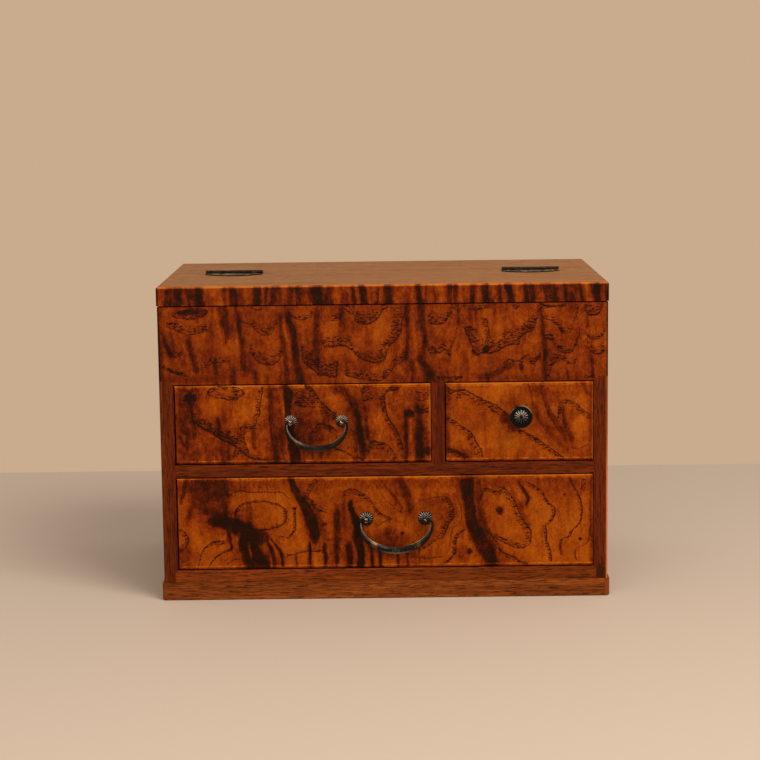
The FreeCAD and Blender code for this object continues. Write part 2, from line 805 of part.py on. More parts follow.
# Drawers
def drawer_pegs(name, west, east, low, high, count):
    """Make the square pegs that hold a drawer's sides to its front and back."""
    pegs = []
    reach = "drawer_side_thickness + peg_depth"
    rows = {"front": "front + (drawer_lip + drawer_front_thickness) / 2",
            "back": "drawer_back - drawer_back_thickness / 2"}
    for end, line in rows.items():
        for number in range(count):
            height = f"({low} + peg_margin + {number} * ({high} - {low} - 2 * peg_margin) / ({count} - 1))"
            for side, x in (("left", (west, f"{west} + {reach}")), ("right", (f"{east} - ({reach})", east))):
                pegs.append(box(f"{name}_{end}_{side}_peg_{number}", x,
                                (f"{line} - peg_width / 2", f"{line} + peg_width / 2"),
                                (f"{height} - peg_width / 2", f"{height} + peg_width / 2")))
    return group(f"{name}_pegs", pegs)


def drawer(name, west_wall, east_wall, base, opening, pegs, holes):
    """Make a drawer with a rebated front, sides let in behind it and a bottom under all."""
    west = f"({west_wall} + drawer_side_gap)"
    east = f"({east_wall} - drawer_side_gap)"
    low = f"({base} + drawer_under_gap)"
    high = f"({base} + {opening} - drawer_top_gap)"
    width = f"({east} - {west})"
    height = f"({high} - {low})"
    wall_low = f"({low} + drawer_bottom_thickness)"
    wall_high = f"({high} - drawer_wall_drop)"
    peg_group = node(drawer_pegs(name, west, east, wall_low, wall_high, pegs))

    front_blank = upright(f"{name}_front_blank", rectangle(("0", width), ("0", height)), "drawer_lip",
                          west, "front", low)
    tongue = new_sketch(front_blank, "XZ_Plane")
    draw_outline(tongue, rectangle(("drawer_side_thickness", f"{width} - drawer_side_thickness"),
                                   ("drawer_bottom_thickness", height)))
    pad(front_blank, tongue, "drawer_front_thickness", True)
    ease_edges(front_blank, "Chamfer", "drawer_arris", lambda edge: edge.YMax < TINY)
    node(cut(f"{name}_front", front_blank, [peg_group, *holes]))

    side_blank = box(f"{name}_side_blank", (west, f"{west} + drawer_side_thickness"),
                     ("front + drawer_lip", "drawer_back"), (wall_low, wall_high))
    side = node(cut(f"{name}_left_side", side_blank, [peg_group]))
    node(mirror(f"{name}_right_side", side, f"({west} + {east}) / 2"))
    between = (f"{west} + drawer_side_thickness", f"{east} - drawer_side_thickness")
    back_blank = box(f"{name}_back_blank", between, ("drawer_back - drawer_back_thickness", "drawer_back"),
                     (wall_low, wall_high))
    node(cut(f"{name}_back", back_blank, [peg_group]))
    node(box(f"{name}_bottom", (west, east), ("front + drawer_lip", "drawer_back"), (low, wall_low)))


def front_middle(base, opening):
    """Give the height of the middle of a drawer front."""
    return f"({base} + ({opening} + drawer_under_gap - drawer_top_gap) / 2)"


lower_holes = drop_handle("lower", "lower_handle", "lower_handle_offset",
                          f"({front_middle('lower_base', 'lower_opening')} + lower_handle_rise)")
drawer("lower_drawer", "-inner_side", "inner_side", "lower_base", "lower_opening",
       int(value("lower_pegs")), lower_holes)

upper_holes = drop_handle("upper", "upper_handle", "((divider_left - inner_side) / 2 + upper_handle_offset)",
                          f"({front_middle('upper_base', 'upper_opening')} + upper_handle_rise)")
drawer("upper_left_drawer", "-inner_side", "divider_left", "upper_base", "upper_opening",
       int(value("upper_pegs")), upper_holes)

knob_x = "((divider_right + inner_side) / 2 + knob_offset)"
knob_z = f"({front_middle('upper_base', 'upper_opening')} + knob_rise)"
knob_hole = pin_hole("knob_hole", knob_x, knob_z, "front - knob_projection")
node(knob(knob_x, knob_z, knob_hole))
node(flower_pin(knob_x, knob_z))
drawer("upper_right_drawer", "divider_right", "inner_side", "upper_base", "upper_opening",
       int(value("upper_pegs")), [knob_hole])

# Check every object, then write each piece to its own file
doc.recompute()
for item in doc.Objects:
    if "Invalid" in item.State or "Error" in item.State:
        raise RuntimeError(f"{item.Label}: {item.State}")
for piece in nodes:
    if piece.Shape.isNull() or not piece.Shape.isValid():
        raise RuntimeError(f"{piece.Label} has no valid shape")
os.makedirs("parts", exist_ok=True)
for piece in nodes:
    piece.Shape.exportStep(f"parts/{piece.Label}.step")
print(f"{len(nodes)} pieces written")
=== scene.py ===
"""Looks of a sewing box: figured drawer fronts, straight-grained case, dark iron handles."""

import math

import bpy
from mathutils import Color, Matrix, Vector


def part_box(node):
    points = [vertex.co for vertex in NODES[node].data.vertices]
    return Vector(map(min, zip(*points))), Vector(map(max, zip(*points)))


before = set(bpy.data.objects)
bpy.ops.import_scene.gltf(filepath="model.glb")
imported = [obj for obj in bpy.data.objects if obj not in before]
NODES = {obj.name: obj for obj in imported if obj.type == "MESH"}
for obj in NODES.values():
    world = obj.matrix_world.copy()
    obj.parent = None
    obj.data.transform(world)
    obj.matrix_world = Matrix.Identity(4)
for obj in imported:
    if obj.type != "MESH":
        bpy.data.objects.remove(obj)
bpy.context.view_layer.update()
bpy.context.scene.view_settings.view_transform = "Standard"

MILLIMETRES = 1000.0


# Camera

IMAGE_SIDE = 760
SENSOR_WIDTH = 36.0
FOCAL_PIXELS = 2020.1
CAMERA_PLACE = Vector((0.003646, -1.70177, 0.41162))
CAMERA_PITCH = math.radians(8.270)
CAMERA_YAW = math.radians(-0.2265)
CAMERA_ROLL = math.radians(-0.73)


def camera_axes():
    """The camera's right, up and forward directions in the part's frame."""
    level_share = math.cos(CAMERA_PITCH)
    east, north = math.sin(CAMERA_YAW), math.cos(CAMERA_YAW)
    forward = Vector((east * level_share, north * level_share, -math.sin(CAMERA_PITCH)))
    level = Vector((north, -east, 0))
    upright = level.cross(forward)
    right = math.cos(CAMERA_ROLL) * level + math.sin(CAMERA_ROLL) * upright
    up = -math.sin(CAMERA_ROLL) * level + math.cos(CAMERA_ROLL) * upright
    return right, up, forward


def add_camera():
    right, up, forward = camera_axes()
    data = bpy.data.cameras.new("camera")
    data.sensor_width = SENSOR_WIDTH
    data.lens = FOCAL_PIXELS / IMAGE_SIDE * SENSOR_WIDTH
    camera = bpy.data.objects.new("camera", data)
    bpy.context.scene.collection.objects.link(camera)
    turn = Matrix((right, up, -forward)).transposed()
    camera.matrix_world = Matrix.Translation(CAMERA_PLACE) @ turn.to_4x4()
    bpy.context.scene.camera = camera


def on_front(px, py, depth):
    """The point (x, z), in millimetres, where a pixel's ray meets the plane y = depth (metres)."""
    right, up, forward = camera_axes()
    across = (px - IMAGE_SIDE / 2) / FOCAL_PIXELS
    down = (py - IMAGE_SIDE / 2) / FOCAL_PIXELS
    ray = forward + across * right - down * up
    point = CAMERA_PLACE + (depth - CAMERA_PLACE.y) / ray.y * ray
    return point.x * MILLIMETRES, point.z * MILLIMETRES


def box(name):
    """A node's low and high corners in millimetres."""
    return [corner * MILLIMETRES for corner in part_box(name)]


# Shader building

# A Mix node's sockets for colours: share, first and second, and the result
MIX_INPUTS = (0, 6, 7)
MIX_RESULT = 2


def colour(red, green, blue):
    """A display colour from 0 to 255 as the linear colour that shaders take."""
    display = Color((red / 255, green / 255, blue / 255))
    return (*display.from_srgb_to_scene_linear(), 1.0)


class Wire:
    """A number in a node tree. Arithmetic on it adds Math nodes."""

    def __init__(self, graph, socket):
        self.graph = graph
        self.socket = socket

    def math(self, operation, *others):
        node = self.graph.node("Math", self, *others, operation=operation)
        return Wire(self.graph, node.outputs[0])

    def __add__(self, other):
        return self.math("ADD", other)

    def __sub__(self, other):
        return self.math("SUBTRACT", other)

    def __mul__(self, other):
        return self.math("MULTIPLY", other)

    def __truediv__(self, other):
        return self.math("DIVIDE", other)

    def size(self):
        return self.math("ABSOLUTE")

    def larger(self, other):
        return self.math("MAXIMUM", other)

    def smaller(self, other):
        return self.math("MINIMUM", other)

    def ramp(self, start, end, low=0.0, high=1.0):
        """The value carried smoothly from start..end to low..high, held at both ends."""
        ends = {"From_Min": start, "From_Max": end, "To_Min": low, "To_Max": high}
        node = self.graph.node("MapRange", self, **ends)
        node.interpolation_type = "SMOOTHSTEP"
        node.clamp = False
        return Wire(self.graph, node.outputs["Result"])

    def through(self, points):
        """The value read off a smooth curve through (input, output) points."""
        points = sorted(points)
        node = self.graph.node("FloatCurve", Value=self)
        mapping = node.mapping
        mapping.use_clip = False
        mapping.extend = "HORIZONTAL"
        curve = mapping.curves[0]
        curve.points[0].location = points[0]
        curve.points[1].location = points[-1]
        for place in points[1:-1]:
            curve.points.new(*place)
        for point in curve.points:
            point.handle_type = "AUTO_CLAMPED"
        mapping.update()
        return Wire(self.graph, node.outputs[0])


class Graph:
    """A node tree and short calls for the nodes this script uses."""

    def __init__(self, tree):
        self.nodes = tree.nodes
        self.links = tree.links

    def feed(self, socket, value):
        source = value.socket if isinstance(value, Wire) else value
        if hasattr(source, "is_output"):
            self.links.new(source, socket)
        else:
            socket.default_value = source

    def fill(self, node, **inputs):
        for name, value in inputs.items():
            self.feed(node.inputs[name.replace("_", " ")], value)
        return node

    def node(self, kind, *values, operation=None, **inputs):
        """A new shader node, with its inputs fed in order and by name."""
        node = self.nodes.new("ShaderNode" + kind)
        if operation:
            node.operation = operation
        for socket, value in zip(node.inputs, values):
            self.feed(socket, value)
        return self.fill(node, **inputs)

    def position(self):
        """Object coordinates in millimetres, as a vector socket."""
        return self.vector("SCALE", self.node("TexCoord").outputs["Object"], Scale=MILLIMETRES)

    def facing(self):
        """The surface's direction in the object's own frame, as a vector socket."""
        return self.node("TexCoord").outputs["Normal"]

    def vector(self, operation, *values, **inputs):
        return self.node("VectorMath", *values, operation=operation, **inputs).outputs["Vector"]

    def parts(self, vector):
        return [Wire(self, output) for output in self.node("SeparateXYZ", vector).outputs]

    def noise(self, vector, period, detail=2.0, roughness=0.5, coloured=False):
        """Noise whose features are about period millimetres long along x, y and z."""
        periods = period if isinstance(period, tuple) else (period,) * 3
        scaled = self.vector("MULTIPLY", vector, tuple(1 / p for p in periods))
        node = self.node("TexNoise", Vector=scaled, Scale=1.0, Detail=detail, Roughness=roughness)
        return node.outputs["Color"] if coloured else Wire(self, node.outputs["Fac"])

    def warp(self, vector, period, reach, detail=2.0):
        """The vector pushed about by noise, up to about reach millimetres each way."""
        push = self.noise(vector, period, detail, coloured=True)
        centred = self.vector("SUBTRACT", push, (0.5, 0.5, 0.5))
        return self.vector("ADD", vector, self.vector("SCALE", centred, Scale=2 * reach))

    def colours(self, value, stops):
        """A colour read off (place, colour) stops."""
        node = self.node("ValToRGB", value)
        elements = node.color_ramp.elements
        elements[0].position, elements[0].color = stops[0]
        elements[1].position, elements[1].color = stops[-1]
        for place, tint in stops[1:-1]:
            elements.new(place).color = tint
        return node.outputs["Color"]

    def blend(self, share, first, second):
        node = self.node("Mix")
        node.data_type = "RGBA"
        for socket, value in zip(MIX_INPUTS, (share, first, second)):
            self.feed(node.inputs[socket], value)
        return node.outputs[MIX_RESULT]


class Surface(Graph):
    """A material with one Principled shader, whose settings are given by name."""

    def __init__(self, name, **settings):
        self.material = bpy.data.materials.new(name)
        self.material.use_nodes = True
        super().__init__(self.material.node_tree)
        self.nodes.clear()
        self.shader = self.node("BsdfPrincipled", **settings)
        self.node("OutputMaterial", Surface=self.shader.outputs[0])

    def bump(self, height, distance, strength):
        node = self.node("Bump", Strength=strength, Distance=distance, Height=height)
        self.fill(self.shader, Normal=node.outputs["Normal"])

    def finish(self, tint, **inputs):
        self.fill(self.shader, Base_Color=tint, **inputs)
        return self.material


# Figured wood

FIGURE_COLOURS = (
    (0.0, colour(184, 98, 22)),
    (0.15, colour(166, 82, 10)),
    (0.3, colour(148, 66, 3)),
    (0.45, colour(127, 49, 0)),
    (0.58, colour(105, 34, 0)),
    (0.7, colour(82, 22, 0)),
    (0.84, colour(52, 14, 0)),
    (1.0, colour(30, 9, 0)),
)
INK = colour(27, 7, 0)

# A pixel on the front in millimetres, the least lean that thins a line, and a bar's lean in pixels
PIXEL = 0.806
LEAST_LEAN = 0.6
BAR_LEAN = 0.8


def rows(text):
    """Rows of numbers written as "1,2 3,4": points in the photograph's pixels, each with its sizes."""
    return [[float(number) for number in row.split(",")] for row in text.split()]


def new_group(name, given, results):
    """A node group with number sockets: its given numbers as wires, and the call that closes it."""
    tree = bpy.data.node_groups.new(name, "ShaderNodeTree")
    for side, sockets in (("INPUT", given), ("OUTPUT", results)):
        for socket in sockets.split():
            tree.interface.new_socket(socket, in_out=side, socket_type="NodeSocketFloat")
    graph = Graph(tree)
    source = tree.nodes.new("NodeGroupInput")
    wires = [Wire(graph, source.outputs[socket]) for socket in given.split()]

    def close(*values):
        graph.fill(tree.nodes.new("NodeGroupOutput"), **dict(zip(results.split(), values)))
        return tree

    return wires, close


def growth_line_group():
    """A dark line at gap 0, with pores that fade out on one side of it and a faint second line."""
    given = "gap lean along middle half side fringe core weight ink pores"
    wires, close = new_group("growth_line", given, "ink pores")
    gap, lean, along, middle, half, side, fringe, core, weight, ink, pores = wires
    gap = gap * lean
    within = (along - middle).size().ramp(half + 1.0, half - 0.6) * weight
    line = gap.size().ramp(core * 1.25, core * 0.3) * within
    sided = gap * side
    second = (sided - fringe * 0.45).size().ramp(core, 0.0) * within * side.size() * 0.42
    inner = sided.ramp(fringe * 1.3, 0.0) * sided.ramp(-0.5, 0.0) * side.size()
    return close(ink.larger(line).larger(second), pores.larger(inner * within))


def band_group():
    """A soft-edged band at gap 0 with rounded ends and a wide faint border."""
    given = "gap lean along middle half width soft streak weight sum"
    wires, close = new_group("band", given, "sum")
    gap, lean, along, middle, half, width, soft, streak, weight, total = wires
    beyond = ((along - middle).size() - half).larger(0.0) * 0.45
    reach = (gap * lean).math("POWER", 2.0) + beyond.math("POWER", 2.0)
    reach = reach.math("SQRT") / width + streak
    core = reach.ramp(soft * 0.5 + 1.0, (soft * -1.0) + 1.0) * weight
    border = reach.ramp(2.4, 0.7) * weight * 0.34
    return close(total.larger(core).larger(border))


def oval_group():
    """How far out a point is from an oval's middle, 1 on its edge."""
    wires, close = new_group("oval", "x z cx cz rx rz cosine sine power", "radius")
    x, z, cx, cz, rx, rz, cosine, sine, power = wires
    dx, dz = x - cx, z - cz
    u = ((dx * cosine + dz * sine) / rx).size().math("POWER", power)
    v = ((dz * cosine - dx * sine) / rz).size().math("POWER", power)
    return close((u + v).math("POWER", power.math("POWER", -1.0)))


GROUPS = {"line": growth_line_group(), "band": band_group(), "oval": oval_group()}


class Figure:
    """The growth lines, dark bands and knots of one figured face."""

    def __init__(self, graph, depth):
        self.graph = graph
        self.depth = depth
        self.position = graph.position()
        smooth = graph.warp(self.position, 14.0, 1.6)
        self.rough = graph.parts(graph.warp(smooth, 2.4, 0.9))
        self.smooth = graph.parts(graph.warp(smooth, 3.0, 0.35))
        self.fibre = graph.noise(self.position, (1.7, 1.7, 34.0), 3.0, 0.6) - 0.5
        blotch = graph.noise(self.position, (4.5, 4.5, 7.0), 3.0, 0.6) - 0.5
        self.strong_fibre = self.fibre * 0.6 + blotch * 0.7
        self.weak_fibre = self.fibre * 0.4 + blotch * 0.5
        self.ink = 0.0
        self.pores = 0.0
        self.shade = 0.0
        self.glow = 0.0

    def call(self, group, **values):
        node = self.graph.node("Group")
        node.node_tree = GROUPS[group]
        self.graph.fill(node, **values)
        return [Wire(self.graph, output) for output in node.outputs]

    def track(self, points, place):
        """What the groups need to know of a drawn path, and where its points are along it."""
        places = [on_front(px, py, self.depth) for px, py, *_ in points]
        flat = runs_along(places)
        along, across = (place[0], place[2]) if flat else (place[2], place[0])
        pairs = [p if flat else (p[1], p[0]) for p in places]
        runs = [p[0] for p in pairs]
        low, high = min(runs), max(runs)
        lean = max((high - low) / math.dist(places[0], places[-1]), LEAST_LEAN)
        extent = {"middle": (low + high) / 2, "half": (high - low) / 2, "lean": min(lean, 1.0)}
        return {"gap": across - along.through(pairs), "along": along, **extent}, runs

    def draw(self, reach, side, fringe, core, weight):
        sizes = {"side": side, "fringe": fringe * PIXEL, "core": core * PIXEL, "weight": weight}
        self.ink, self.pores = self.call("line", **reach, **sizes, ink=self.ink, pores=self.pores)

    def line(self, text, side=0, fringe=5.0, core=0.85, weight=0.9):
        """A growth line; side is where its pores lie: 1 above or right, -1 below or left."""
        self.draw(self.track(rows(text), self.rough)[0], side, fringe, core, weight)

    def ring(self, px, py, rx, ry, tilt=0.0, side=-1, fringe=5.0, core=0.85, weight=0.9, power=2.2):
        """A closed growth line; side -1 has its pores inside."""
        radius = self.radial(self.rough, px, py, rx, ry, tilt, power)
        gap = (radius - 1.0) * (math.sqrt(rx * ry) * PIXEL)
        everywhere = {"gap": gap, "lean": 1.0, "along": 0.0, "middle": 0.0, "half": 10.0}
        self.draw(everywhere, side, fringe, core, weight)

    def radial(self, place, px, py, rx, ry, tilt, power=2.0):
        cx, cz = on_front(px, py, self.depth)
        turn = math.radians(tilt)
        sizes = {"cx": cx, "cz": cz, "rx": rx * PIXEL, "rz": ry * PIXEL}
        turned = {"cosine": math.cos(turn), "sine": math.sin(turn), "power": power}
        return self.call("oval", x=place[0], z=place[2], **sizes, **turned)[0]

    def patch(self, total, start, end, px, py, rx, ry, weight=1.0, tilt=0.0):
        radius = self.radial(self.smooth, px, py, rx, ry, tilt) + self.weak_fibre
        return (radius.ramp(start, end) * weight).larger(total)

    def spots(self, text):
        """Soft dark patches and knots, as px,py,rx,ry,weight and at times a tilt."""
        for row in rows(text):
            self.shade = self.patch(self.shade, 1.15, 0.45, *row)

    def lights(self, text):
        """Soft lighter patches, written as spots are."""
        for row in rows(text):
            self.glow = self.patch(self.glow, 1.2, 0.2, *row)

    def stripe(self, text, **looks):
        """A soft band along a path; a third number at a point is its half width there, or all along."""
        points = rows(text)
        reach, runs = self.track(points, self.smooth)
        widths = [point[2] * PIXEL for point in points if len(point) > 2]
        width = reach["along"].through(list(zip(runs, widths))) if len(widths) > 1 else widths[0]
        return self.call("band", **reach, width=width, **looks)[0]

    def band(self, text, weight, soft=0.75):
        self.shade = self.stripe(text, weight=weight, soft=soft, streak=self.strong_fibre, sum=self.shade)

    def glint(self, text, weight):
        self.glow = self.stripe(text, weight=weight, soft=0.75, streak=self.weak_fibre, sum=self.glow)

    def bars(self, text):
        """Short upright dark bands, as px,top,bottom,half width,weight."""
        for px, top, bottom, half, weight in rows(text):
            self.band(f"{px},{top},{half} {px + BAR_LEAN},{bottom}", weight)


def runs_along(points):
    """True where a path is a height over x, false where it is a width over z."""
    steps = list(zip(points, points[1:]))
    steady = [len({b[axis] > a[axis] for a, b in steps}) == 1 for axis in (0, 1)]
    if steady[0] != steady[1]:
        return steady[0]
    spans = [abs(points[-1][axis] - points[0][axis]) for axis in (0, 1)]
    return spans[0] >= spans[1]


def edge_light_and_shade(graph, node, position, crest):
    """Painted light and shade by facing: up-facing edges lighter, down- and left-facing ones darker,
    right-facing ones darker except on drawer fronts, where they are lighter; drawer fronts also get painted
    highlight lines under the top and above the foot, and painted shade at the foot.
    """
    right, _, up = graph.parts(graph.facing())
    # Painted light on up-facing edges, painted shade on down- and left-facing ones.
    tone = up.ramp(-0.2, -0.7, 0.0, 0.4) - up.ramp(0.12, 0.55, 0.0, 0.4) + right.ramp(-0.12, -0.5, 0.0, 0.5)
    if not crest:
        return tone + right.ramp(0.12, 0.5, 0.0, 0.3) - up.ramp(0.3, 0.8, 0.0, 0.16)
    tone = tone - right.ramp(0.12, 0.5, 0.0, 0.2)
    low, high = box(node)
    height = graph.parts(graph.warp(position, 5.0, 0.35))[2]
    # Noise that breaks up the painted highlight lines.
    highlight_breaks = graph.noise(position, (5.0, 5.0, 2.0), 2.0).ramp(0.38, 0.62, 0.1, 1.0)
    below_top = (height - high.z) * -1.0
    above_foot = height - low.z
    # Painted highlight lines where the top and foot arrises catch the light.
    top_highlight = (below_top - 1.7).size().ramp(1.1, 0.2)
    foot_highlight = (above_foot - 2.7).size().ramp(0.8, 0.15)
    # Painted shade along the foot.
    foot_shade = above_foot.ramp(2.2, 1.4, 0.0, 0.16)
    return tone - (top_highlight * 0.26 + foot_highlight * 0.3) * highlight_breaks + foot_shade


def figured(node, base, strength, cloudy, draw):
    """A lacquered figured wood; base is its plain tone and draw adds its growth lines."""
    graph = Surface("figured_" + node, Specular_IOR_Level=0.06)
    figure = Figure(graph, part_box(node)[0].y)
    draw(figure)
    position = figure.position
    drift = graph.warp(position, 22.0, 5.0)
    cloud = graph.noise(drift, (20.0, 20.0, 24.0), 3.0, 0.55).ramp(0.28, 0.72, -0.13 * cloudy, 0.13 * cloudy)
    mottle = graph.noise(graph.warp(position, 7.0, 1.6), (4.2, 4.2, 5.6), 3.0, 0.62)
    mottle = mottle.ramp(0.28, 0.72, -0.11, 0.11) * cloudy
    curl = graph.noise(drift, (6.0, 6.0, 46.0), 2.0).ramp(0.5, 0.75, 0.0, 0.2 * cloudy)
    grain = graph.noise(position, (0.9, 0.9, 2.2), 2.0, 0.6).ramp(0.28, 0.72, -0.07, 0.07)
    tone = cloud + mottle + curl + grain + base
    tone = tone + figure.fibre * 0.07
    patchy = mottle.ramp(-0.11, 0.11, 0.92, 1.04)
    for mark, share in ((figure.shade, strength), (figure.glow, -0.16)):
        tone = tone + mark * patchy * share
    dashes = graph.noise(graph.warp(position, 4.5, 1.0), (3.0, 3.0, 0.85), 2.0, 0.6).ramp(0.51, 0.58)
    tone = tone + figure.pores.ramp(0.0, 0.5) * dashes * 0.48 + figure.pores * 0.05
    broken = graph.noise(position, 1.2, 1.0).ramp(0.34, 0.52, 0.35, 0.95)
    fine = graph.noise(position, (0.8, 0.8, 1.3), 1.0).ramp(0.66, 0.76, 0.0, 0.22)
    tone = tone + fine + edge_light_and_shade(graph, node, position, "drawer" in node)
    tint = graph.blend(figure.ink * broken, graph.colours(tone, FIGURE_COLOURS), INK)
    graph.bump(tone, 0.00003, 0.4)
    return graph.finish(tint, Roughness=tone.ramp(0.0, 1.0, 0.3, 0.42))


def lower_drawer_figure(f):
    f.strong_fibre = f.weak_fibre * 0.8
    f.line("230,495 240,490 249,491 256,492 267,492 279,492 285,495 290,500")
    f.line("295,507 295.5,517 295,530 288,538", -1, 3)
    f.line("277,541 279,537.5 284,536.6 288,537.6", core=0.7)
    f.ring(261, 515.4, 25.7, 14.4, -3, -1, 3, power=2.5)
    f.line("198.3,566 201,556 204.3,548.5 210.8,543 218.4,541 225,541", -1, 3)
    f.line("210.2,566.4 213,561.5 218.4,556 226,551.7 231.4,551.2", 1, 2)
    f.line("228,564.7 232.5,561 236.8,559.5 240,560", core=0.7)
    f.line("181,529 185.8,534.4 189.1,539.8 186.4,545.2 181.5,551.7", -1, 6)
    f.line("286.7,556 294.3,554.4 300.8,552.8 309.4,551.2 319.2,551.7 326.8,553.4", 1, 3, 0.7, 0.75)
    f.line("303,501 310.5,505 317,510.5 326.8,512.2", 1, 7, 0.6, 0.7)
    f.line("306.7,497.5 312,489 319.2,480", -1, 6, 0.6, 0.6)
    f.line("321.4,536.6 327,539.8 332.2,539.8", 0, 0, 0.8, 0.7)
    f.line("341.4,497.5 343,492.1 348.4,489.4 354.9,490 362.5,493.7 369,498.6 373.4,505 377.7,510.5"
           " 384.2,515 390.7,518.7", -1, 5)
    f.line("373,519.5 378,525 384,521.5 390.7,518.7", 0, 0, 0.7, 0.8)
    f.line("373.4,481.3 378.8,489 383.1,496.4 388.5,503 395,508.4 403.7,511.6 408.1,510.5 412.4,507.3"
           " 416.7,503 427.6,498.6 438.4,496.4 447.1,497.5", 0, 0, 0.7, 0.7)
    f.line("448.2,497.5 452.5,505 453.6,511.6 452.5,519.2 449.3,523.5 446.5,530 442.8,536.6 435.2,541"
           " 427.6,546.3 422.2,549", -1, 7)
    f.line("455.8,494.3 460.1,502 461.7,511.6 460.1,521.4 453.6,528 450.9,534.4 450.3,543 448.2,550.6"
           " 441.7,556.6", 0, 0, 0.7, 0.7)
    f.line("410.2,557.7 427.6,557.9 441.7,556.6", 0, 0, 0.8, 0.8)
    f.line("465.5,529 458,536.6 455.8,543 455.2,551.7 450.3,559.3 447.1,562.6", -1, 4, 0.8, 0.8)
    f.line("480.4,497.5 482.5,491 484.7,488.3 491.2,490 497.7,491.6 504.2,487.2", -1, 4)
    f.line("504.2,487.2 508.5,492 511.8,496.4 515,503 519.4,511.6 523.7,520.3 529.1,526.8 531.9,534.4"
           " 531.3,541", -1, 7, 0.8, 0.8)
    f.line("495.5,537.6 504.2,542 513,546.3 520.5,547.6 527,545.8 531.3,541", 1, 6, 1)
    f.line("480.4,497.5 478.7,506.2 481.4,513.8 487,526 495.5,537.6", 0, 0, 0.8, 0.6)
    f.line("491.2,534.4 496.6,541 501,550.6 507.5,555 515,557.2 520.5,561.5 528,563", -1, 3, 0.9, 0.8)
    f.line("528,483 536.7,486 542.2,490", -1, 4)
    f.line("542.2,490 545.4,497.5 548.7,503 554.6,509.4 554.1,516 549.7,522.5 545.4,526.8 546.5,534.4"
           " 548.1,543 550.3,551.7 551.4,561.5", -1, 3.5)
    f.line("570.3,477 572.5,483.4 577.9,492 581.2,502 582.8,511.6 581.7,520.3 577.9,525.7 572.5,530"
           " 570.3,535.5 561.7,541 560.6,549.6 562.2,555", -1, 2.5)
    f.line("591,525.7 589.3,534.4 587.7,542 583.3,545.2 574.7,548.5 574.7,555 576.3,560.4", 0, 0, 1)
    f.line("582.3,479 581.2,490", 1, 5, 0.5, 0.7)
    f.band("221,521,7.4 228,523.5,8.4 237,527.5,9.8 245,532,10.4 250,537,10", 1.05, 0.45)
    f.band("248,541,10.6 248.8,545,11 250.4,549,11.8 253.3,555,13.6 255.8,560,14.6 259,565,13", 1.05, 0.45)
    f.band("262.4,531,1.6 264.7,538.4,2 270,547.9,2.6 273.2,557,2.8 274.4,564.5,2.8", 0.92)
    f.band("270.8,540,1.4 276.3,547.4,2 281,552.5,2 282.2,563.6,1.8", 0.9)
    f.band("228.6,531,3 230,540,2.7 231.8,548.6,1.8", 0.9)
    f.band("196,507,6 203,509,10 212,512,10 224,515,7", 0.8, 1)
    f.band("189,477,4.5 185.5,489,5 181,501,2.5", 0.72, 0.8)
    f.band("207,478,5 199,494,6 190,514,4", 0.6, 1)
    f.band("214,478,8 213.5,495,8 214,514,7", 0.56, 1)
    f.band("223.5,478,4 223,494,4.4 225,512,4", 0.78)
    f.band("301,490,6 312,508,7 321,528,6", 0.5, 1)
    # A darker band along the drawer's whole top: painted shade.
    f.band("246,485,9 330,483 460,482 566,482", 0.3, 1)
    f.band("290.5,478,3.8 295.3,490,4.9 302.9,502,5.4 308.1,512.7,6.7 312.1,523.5,6.5 315,534.4,5.6", 1, 0.5)
    f.band("350.6,506.2,3.3 353.3,513.8,4.6 357.1,524.6,5.4 358,535.5,5.6 359.1,546.3,5.2 361,557.2,5"
           " 361,564,5", 1, 0.5)
    f.band("378.8,479,2.2 386.4,486.7 395,497.5 401.6,508.4", 0.45)
    f.band("401,481,5.5 406,492,6 410,506,4", 0.62)
    f.band("467.7,478,8.2 466.8,486.7,8.2 468.8,497.5,7.2 470.4,508.4,7 472,519.2,7.4 476.1,530,8.6"
           " 481.2,541,10 487.2,551.7,9.6 492,563,8.6", 0.92, 0.5)
    f.band("478,478,6 478,497,6 481,519,8 488,541,8 495,563,6", 0.62, 1)
    f.band("519.4,484.5,2.6 524.8,491,2.4 528,498.6,2 526,504,1.4", 0.8)
    f.band("512,490,3 520,508 528,524", 0.35)
    f.band("592,476,2 591,500 592,560", 0.5)
    f.glint("249.6,546,1.3 250.4,551 251,557", 2.2)
    f.glint("239,534,1.2 238.5,540", 1.2)
    f.glint("258.5,530,1.3 260,540", 0.9)
    f.glint("460,505,1.5 464,520 466,540", 0.6)
    f.glint("296,515,3.5 303,528 306,540", 0.7)
    for px in (231.4, 240, 248.7, 258.5, 267.2):
        f.band(f"{px},479,1.5 {px + 0.6},491", 0.4)
    f.bars(
        "349,548,564,4.5,0.95 372,549,564,2.4,0.95 380,549,564,2.2,0.9 398,553,562,2.2,0.65"
        " 407.6,553,563,2.2,0.65 419,552,562,1.3,0.45 336.5,547,561,3,0.85 309.4,545,562,1.8,0.9"
        " 324.6,547,560,2.6,0.85 296.4,557,563,1.2,0.6 337,514,547,5.2,0.72 343,507,526,4,0.45"
    )
    f.spots(
        "323.5,524,4,2.2,0.8 469.3,550.6,3.8,4,1 402.6,533.3,2.6,2.2,0.8 500.4,510.4,4.4,5.2,0.75,20"
        " 580.1,538.7,2.2,2,0.9 564,494,1.8,1.8,0.5 208,501,30,27,0.56 208,490,32,22,0.78 345,514,50,40,0.2"
        " 386,543,27,18,0.5 436,514,30,30,0.26 186,559,18,14,0.26 317,485,20,12,0.3 463,553,10,11,0.36"
        " 456,480,11,10,0.42 416,560,24,8,0.28"
    )
    f.lights("289,530,24,24,0.9 574,521,18,18,0.9 551,556,22,14,0.6 531,548,11,12,0.7 183,503,9,14,0.6")


